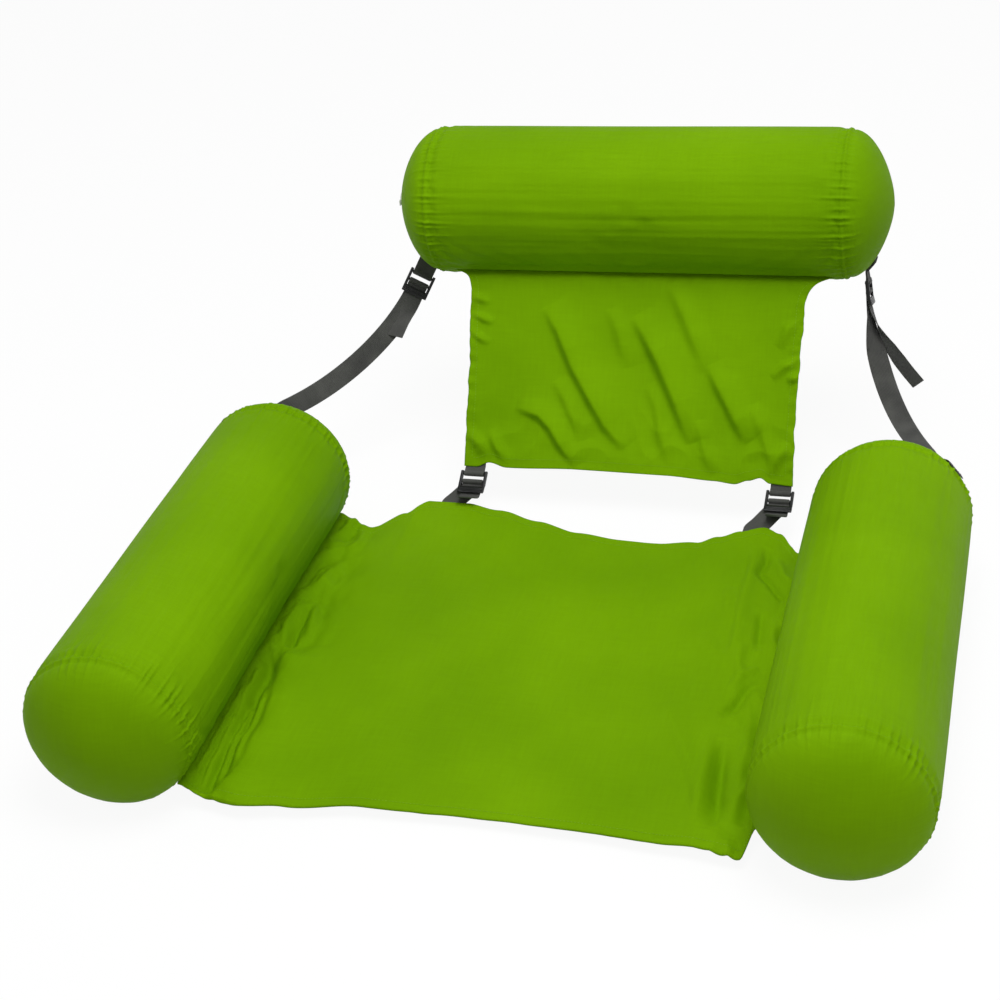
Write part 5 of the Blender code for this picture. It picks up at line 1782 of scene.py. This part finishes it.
def make_valve(prefix, place, axis):
    """A valve and its plug at the pole that an axis points to."""
    turn = place @ Vector(axis).to_track_quat("Z", "Y").to_matrix().to_4x4()
    top, flange = POLE + NECK_STAND, POLE - FLANGE_DEPTH
    under = flange - FLANGE_THICKNESS
    neck = spin_outline(prefix + "_valve_neck", [
        (NECK_RADIUS, top), (NECK_RADIUS, flange), (FLANGE_RADIUS, flange),
        (FLANGE_RADIUS, under), (NECK_BORE, under), (NECK_BORE, top)], True)
    neck.data.transform(turn)
    dress(neck, white_vinyl, "white_vinyl", prefix, [prefix + "_valve"])
    base = top + GAP
    stem, foot, dish = NECK_BORE - GAP, base - PLUG_STEM, base + PLUG_HEAD * DISH_HEIGHT_SHARE
    plug = spin_outline(prefix + "_plug_cap", [
        (0.0, dish), (PLUG_HEAD_RADIUS * DISH_SHARES[0], dish),
        (PLUG_HEAD_RADIUS * DISH_SHARES[1], base + PLUG_HEAD), (PLUG_HEAD_RADIUS, base + PLUG_HEAD),
        (PLUG_HEAD_RADIUS, base), (stem, base), (stem, foot + PLUG_TIP), (stem - PLUG_TIP, foot),
        (0.0, foot)], False)
    fuse(plug, [plug_lip(base)], VALVE_SMOOTH)
    plug.data.transform(turn)
    dress(plug, white_vinyl, "white_vinyl", prefix + "_plug", [prefix + "_valve_plug"])
    print(prefix, "valve and plug have", len(neck.data.polygons) + len(plug.data.polygons), "faces")


# %% Place the three valves
make_valve("arm_left", ARM_PLACES["left"], (0.0, 1.0, 0.0))
make_valve("arm_right", ARM_PLACES["right"], (0.0, 1.0, 0.0))
make_valve("headrest", HEAD_PLACE, (-1.0, 0.0, 0.0))

# %% [markdown]
# ## Floor, light and camera
#
# The photograph shows the chair on plain white, lit softly from above. A large lamp overhead gives
# that, with weak ones in front and at both sides. The floor's white comes from what the camera alone
# sees, so no extra light falls on the cloth, and the floor keeps a soft shadow.

# %% Lay the floor
FLOOR_HALF, FLOOR_DROP, FLOOR_GREY = 12.0, 0.0004, 0.6
SEEN_WHITE, SEEN_SHARE = 1.05, 0.88
bpy.ops.object.select_all(action="DESELECT")
bpy.ops.mesh.primitive_plane_add(size=FLOOR_HALF * 2, location=(0, 0, -FLOOR_DROP))
floor = bpy.context.object
floor.name = "floor"
floor_paint, tree, shader = start_material(
    "floor_paint", 0.9, Base_Color=(FLOOR_GREY, FLOOR_GREY, FLOOR_GREY, 1.0), Specular_IOR_Level=0.1)
path = add_node(tree, "ShaderNodeLightPath")
seen = maths(tree, "MAXIMUM", path.outputs["Is Camera Ray"],
             maths(tree, "MAXIMUM", path.outputs["Is Glossy Ray"], path.outputs["Is Transmission Ray"]))
white = add_node(tree, "ShaderNodeEmission")
white.inputs["Color"].default_value = (1.0, 1.0, 1.0, 1.0)
white.inputs["Strength"].default_value = SEEN_WHITE
mixed = add_node(tree, "ShaderNodeMixShader")
link(tree, maths(tree, "MULTIPLY", seen, SEEN_SHARE), mixed.inputs[0])
link(tree, shader.outputs[0], mixed.inputs[1])
link(tree, white.outputs[0], mixed.inputs[2])
link(tree, mixed.outputs[0], tree.nodes["Material Output"].inputs["Surface"])
floor.data.materials.append(floor_paint)
print("floor is", FLOOR_HALF * 2, "m wide")

# %% Set the light
WORLD_LIGHT, WORLD_SEEN = 0.45, 1.0
LAMPS = {
    "overhead": ((0.3, -0.3, 2.3), (0.0, 0.1, 0.1), 1.2, 36),
    "front": ((0.6, -2.6, 1.6), (0.0, 0.3, 0.15), 1.4, 5),
    "left": ((-2.4, 0.2, 1.4), (0.0, 0.0, 0.15), 1.4, 3.5),
    "right": ((2.2, -0.3, 1.5), (0.0, 0.0, 0.15), 1.4, 5),
}
world = bpy.data.worlds.new("studio")
bpy.context.scene.world = world
world.use_nodes = True
tree = world.node_tree
background = tree.nodes["Background"]
background.inputs["Color"].default_value = (1.0, 1.0, 1.0, 1.0)
path = add_node(tree, "ShaderNodeLightPath")
seen = maths(tree, "MAXIMUM", path.outputs["Is Camera Ray"], path.outputs["Is Transmission Ray"])
link(tree, spread(tree, seen, WORLD_LIGHT, WORLD_SEEN), background.inputs["Strength"])
for name, (place, target, size, power) in LAMPS.items():
    data = bpy.data.lights.new(name, "AREA")
    data.size, data.energy = size, power
    item = bpy.data.objects.new(name, data)
    item.location = place
    item.rotation_euler = (Vector(target) - Vector(place)).to_track_quat("-Z", "Y").to_euler()
    bpy.context.scene.collection.objects.link(item)
print("lamps:", ", ".join(LAMPS))

# %% Set the camera
LENS, SENSOR = 72.0, 36.0
CAMERA_PLACE = (0.5182, -1.8375, 1.3187)
CAMERA_YAW, CAMERA_PITCH, CAMERA_ROLL = 0.2619, 0.5735, -0.0734
CAMERA_SHIFT = (-0.08, 0.03)
forward = Vector((-math.sin(CAMERA_YAW) * math.cos(CAMERA_PITCH),
                  math.cos(CAMERA_YAW) * math.cos(CAMERA_PITCH), -math.sin(CAMERA_PITCH)))
level = Vector((math.cos(CAMERA_YAW), math.sin(CAMERA_YAW), 0.0))
upright = level.cross(forward)
right = level * math.cos(CAMERA_ROLL) + upright * math.sin(CAMERA_ROLL)
up = upright * math.cos(CAMERA_ROLL) - level * math.sin(CAMERA_ROLL)
data = bpy.data.cameras.new("camera")
data.lens = LENS
data.sensor_width = SENSOR
data.sensor_fit = "HORIZONTAL"
data.shift_x, data.shift_y = CAMERA_SHIFT
camera = bpy.data.objects.new("camera", data)
turn = Matrix((right, up, -forward)).transposed().to_4x4()
camera.matrix_world = Matrix.Translation(CAMERA_PLACE) @ turn
bpy.context.scene.collection.objects.link(camera)
bpy.context.scene.camera = camera
bpy.context.scene.view_settings.view_transform = "Standard"
print("camera", round(Vector(CAMERA_PLACE).length, 2), "m from the middle of the floor")
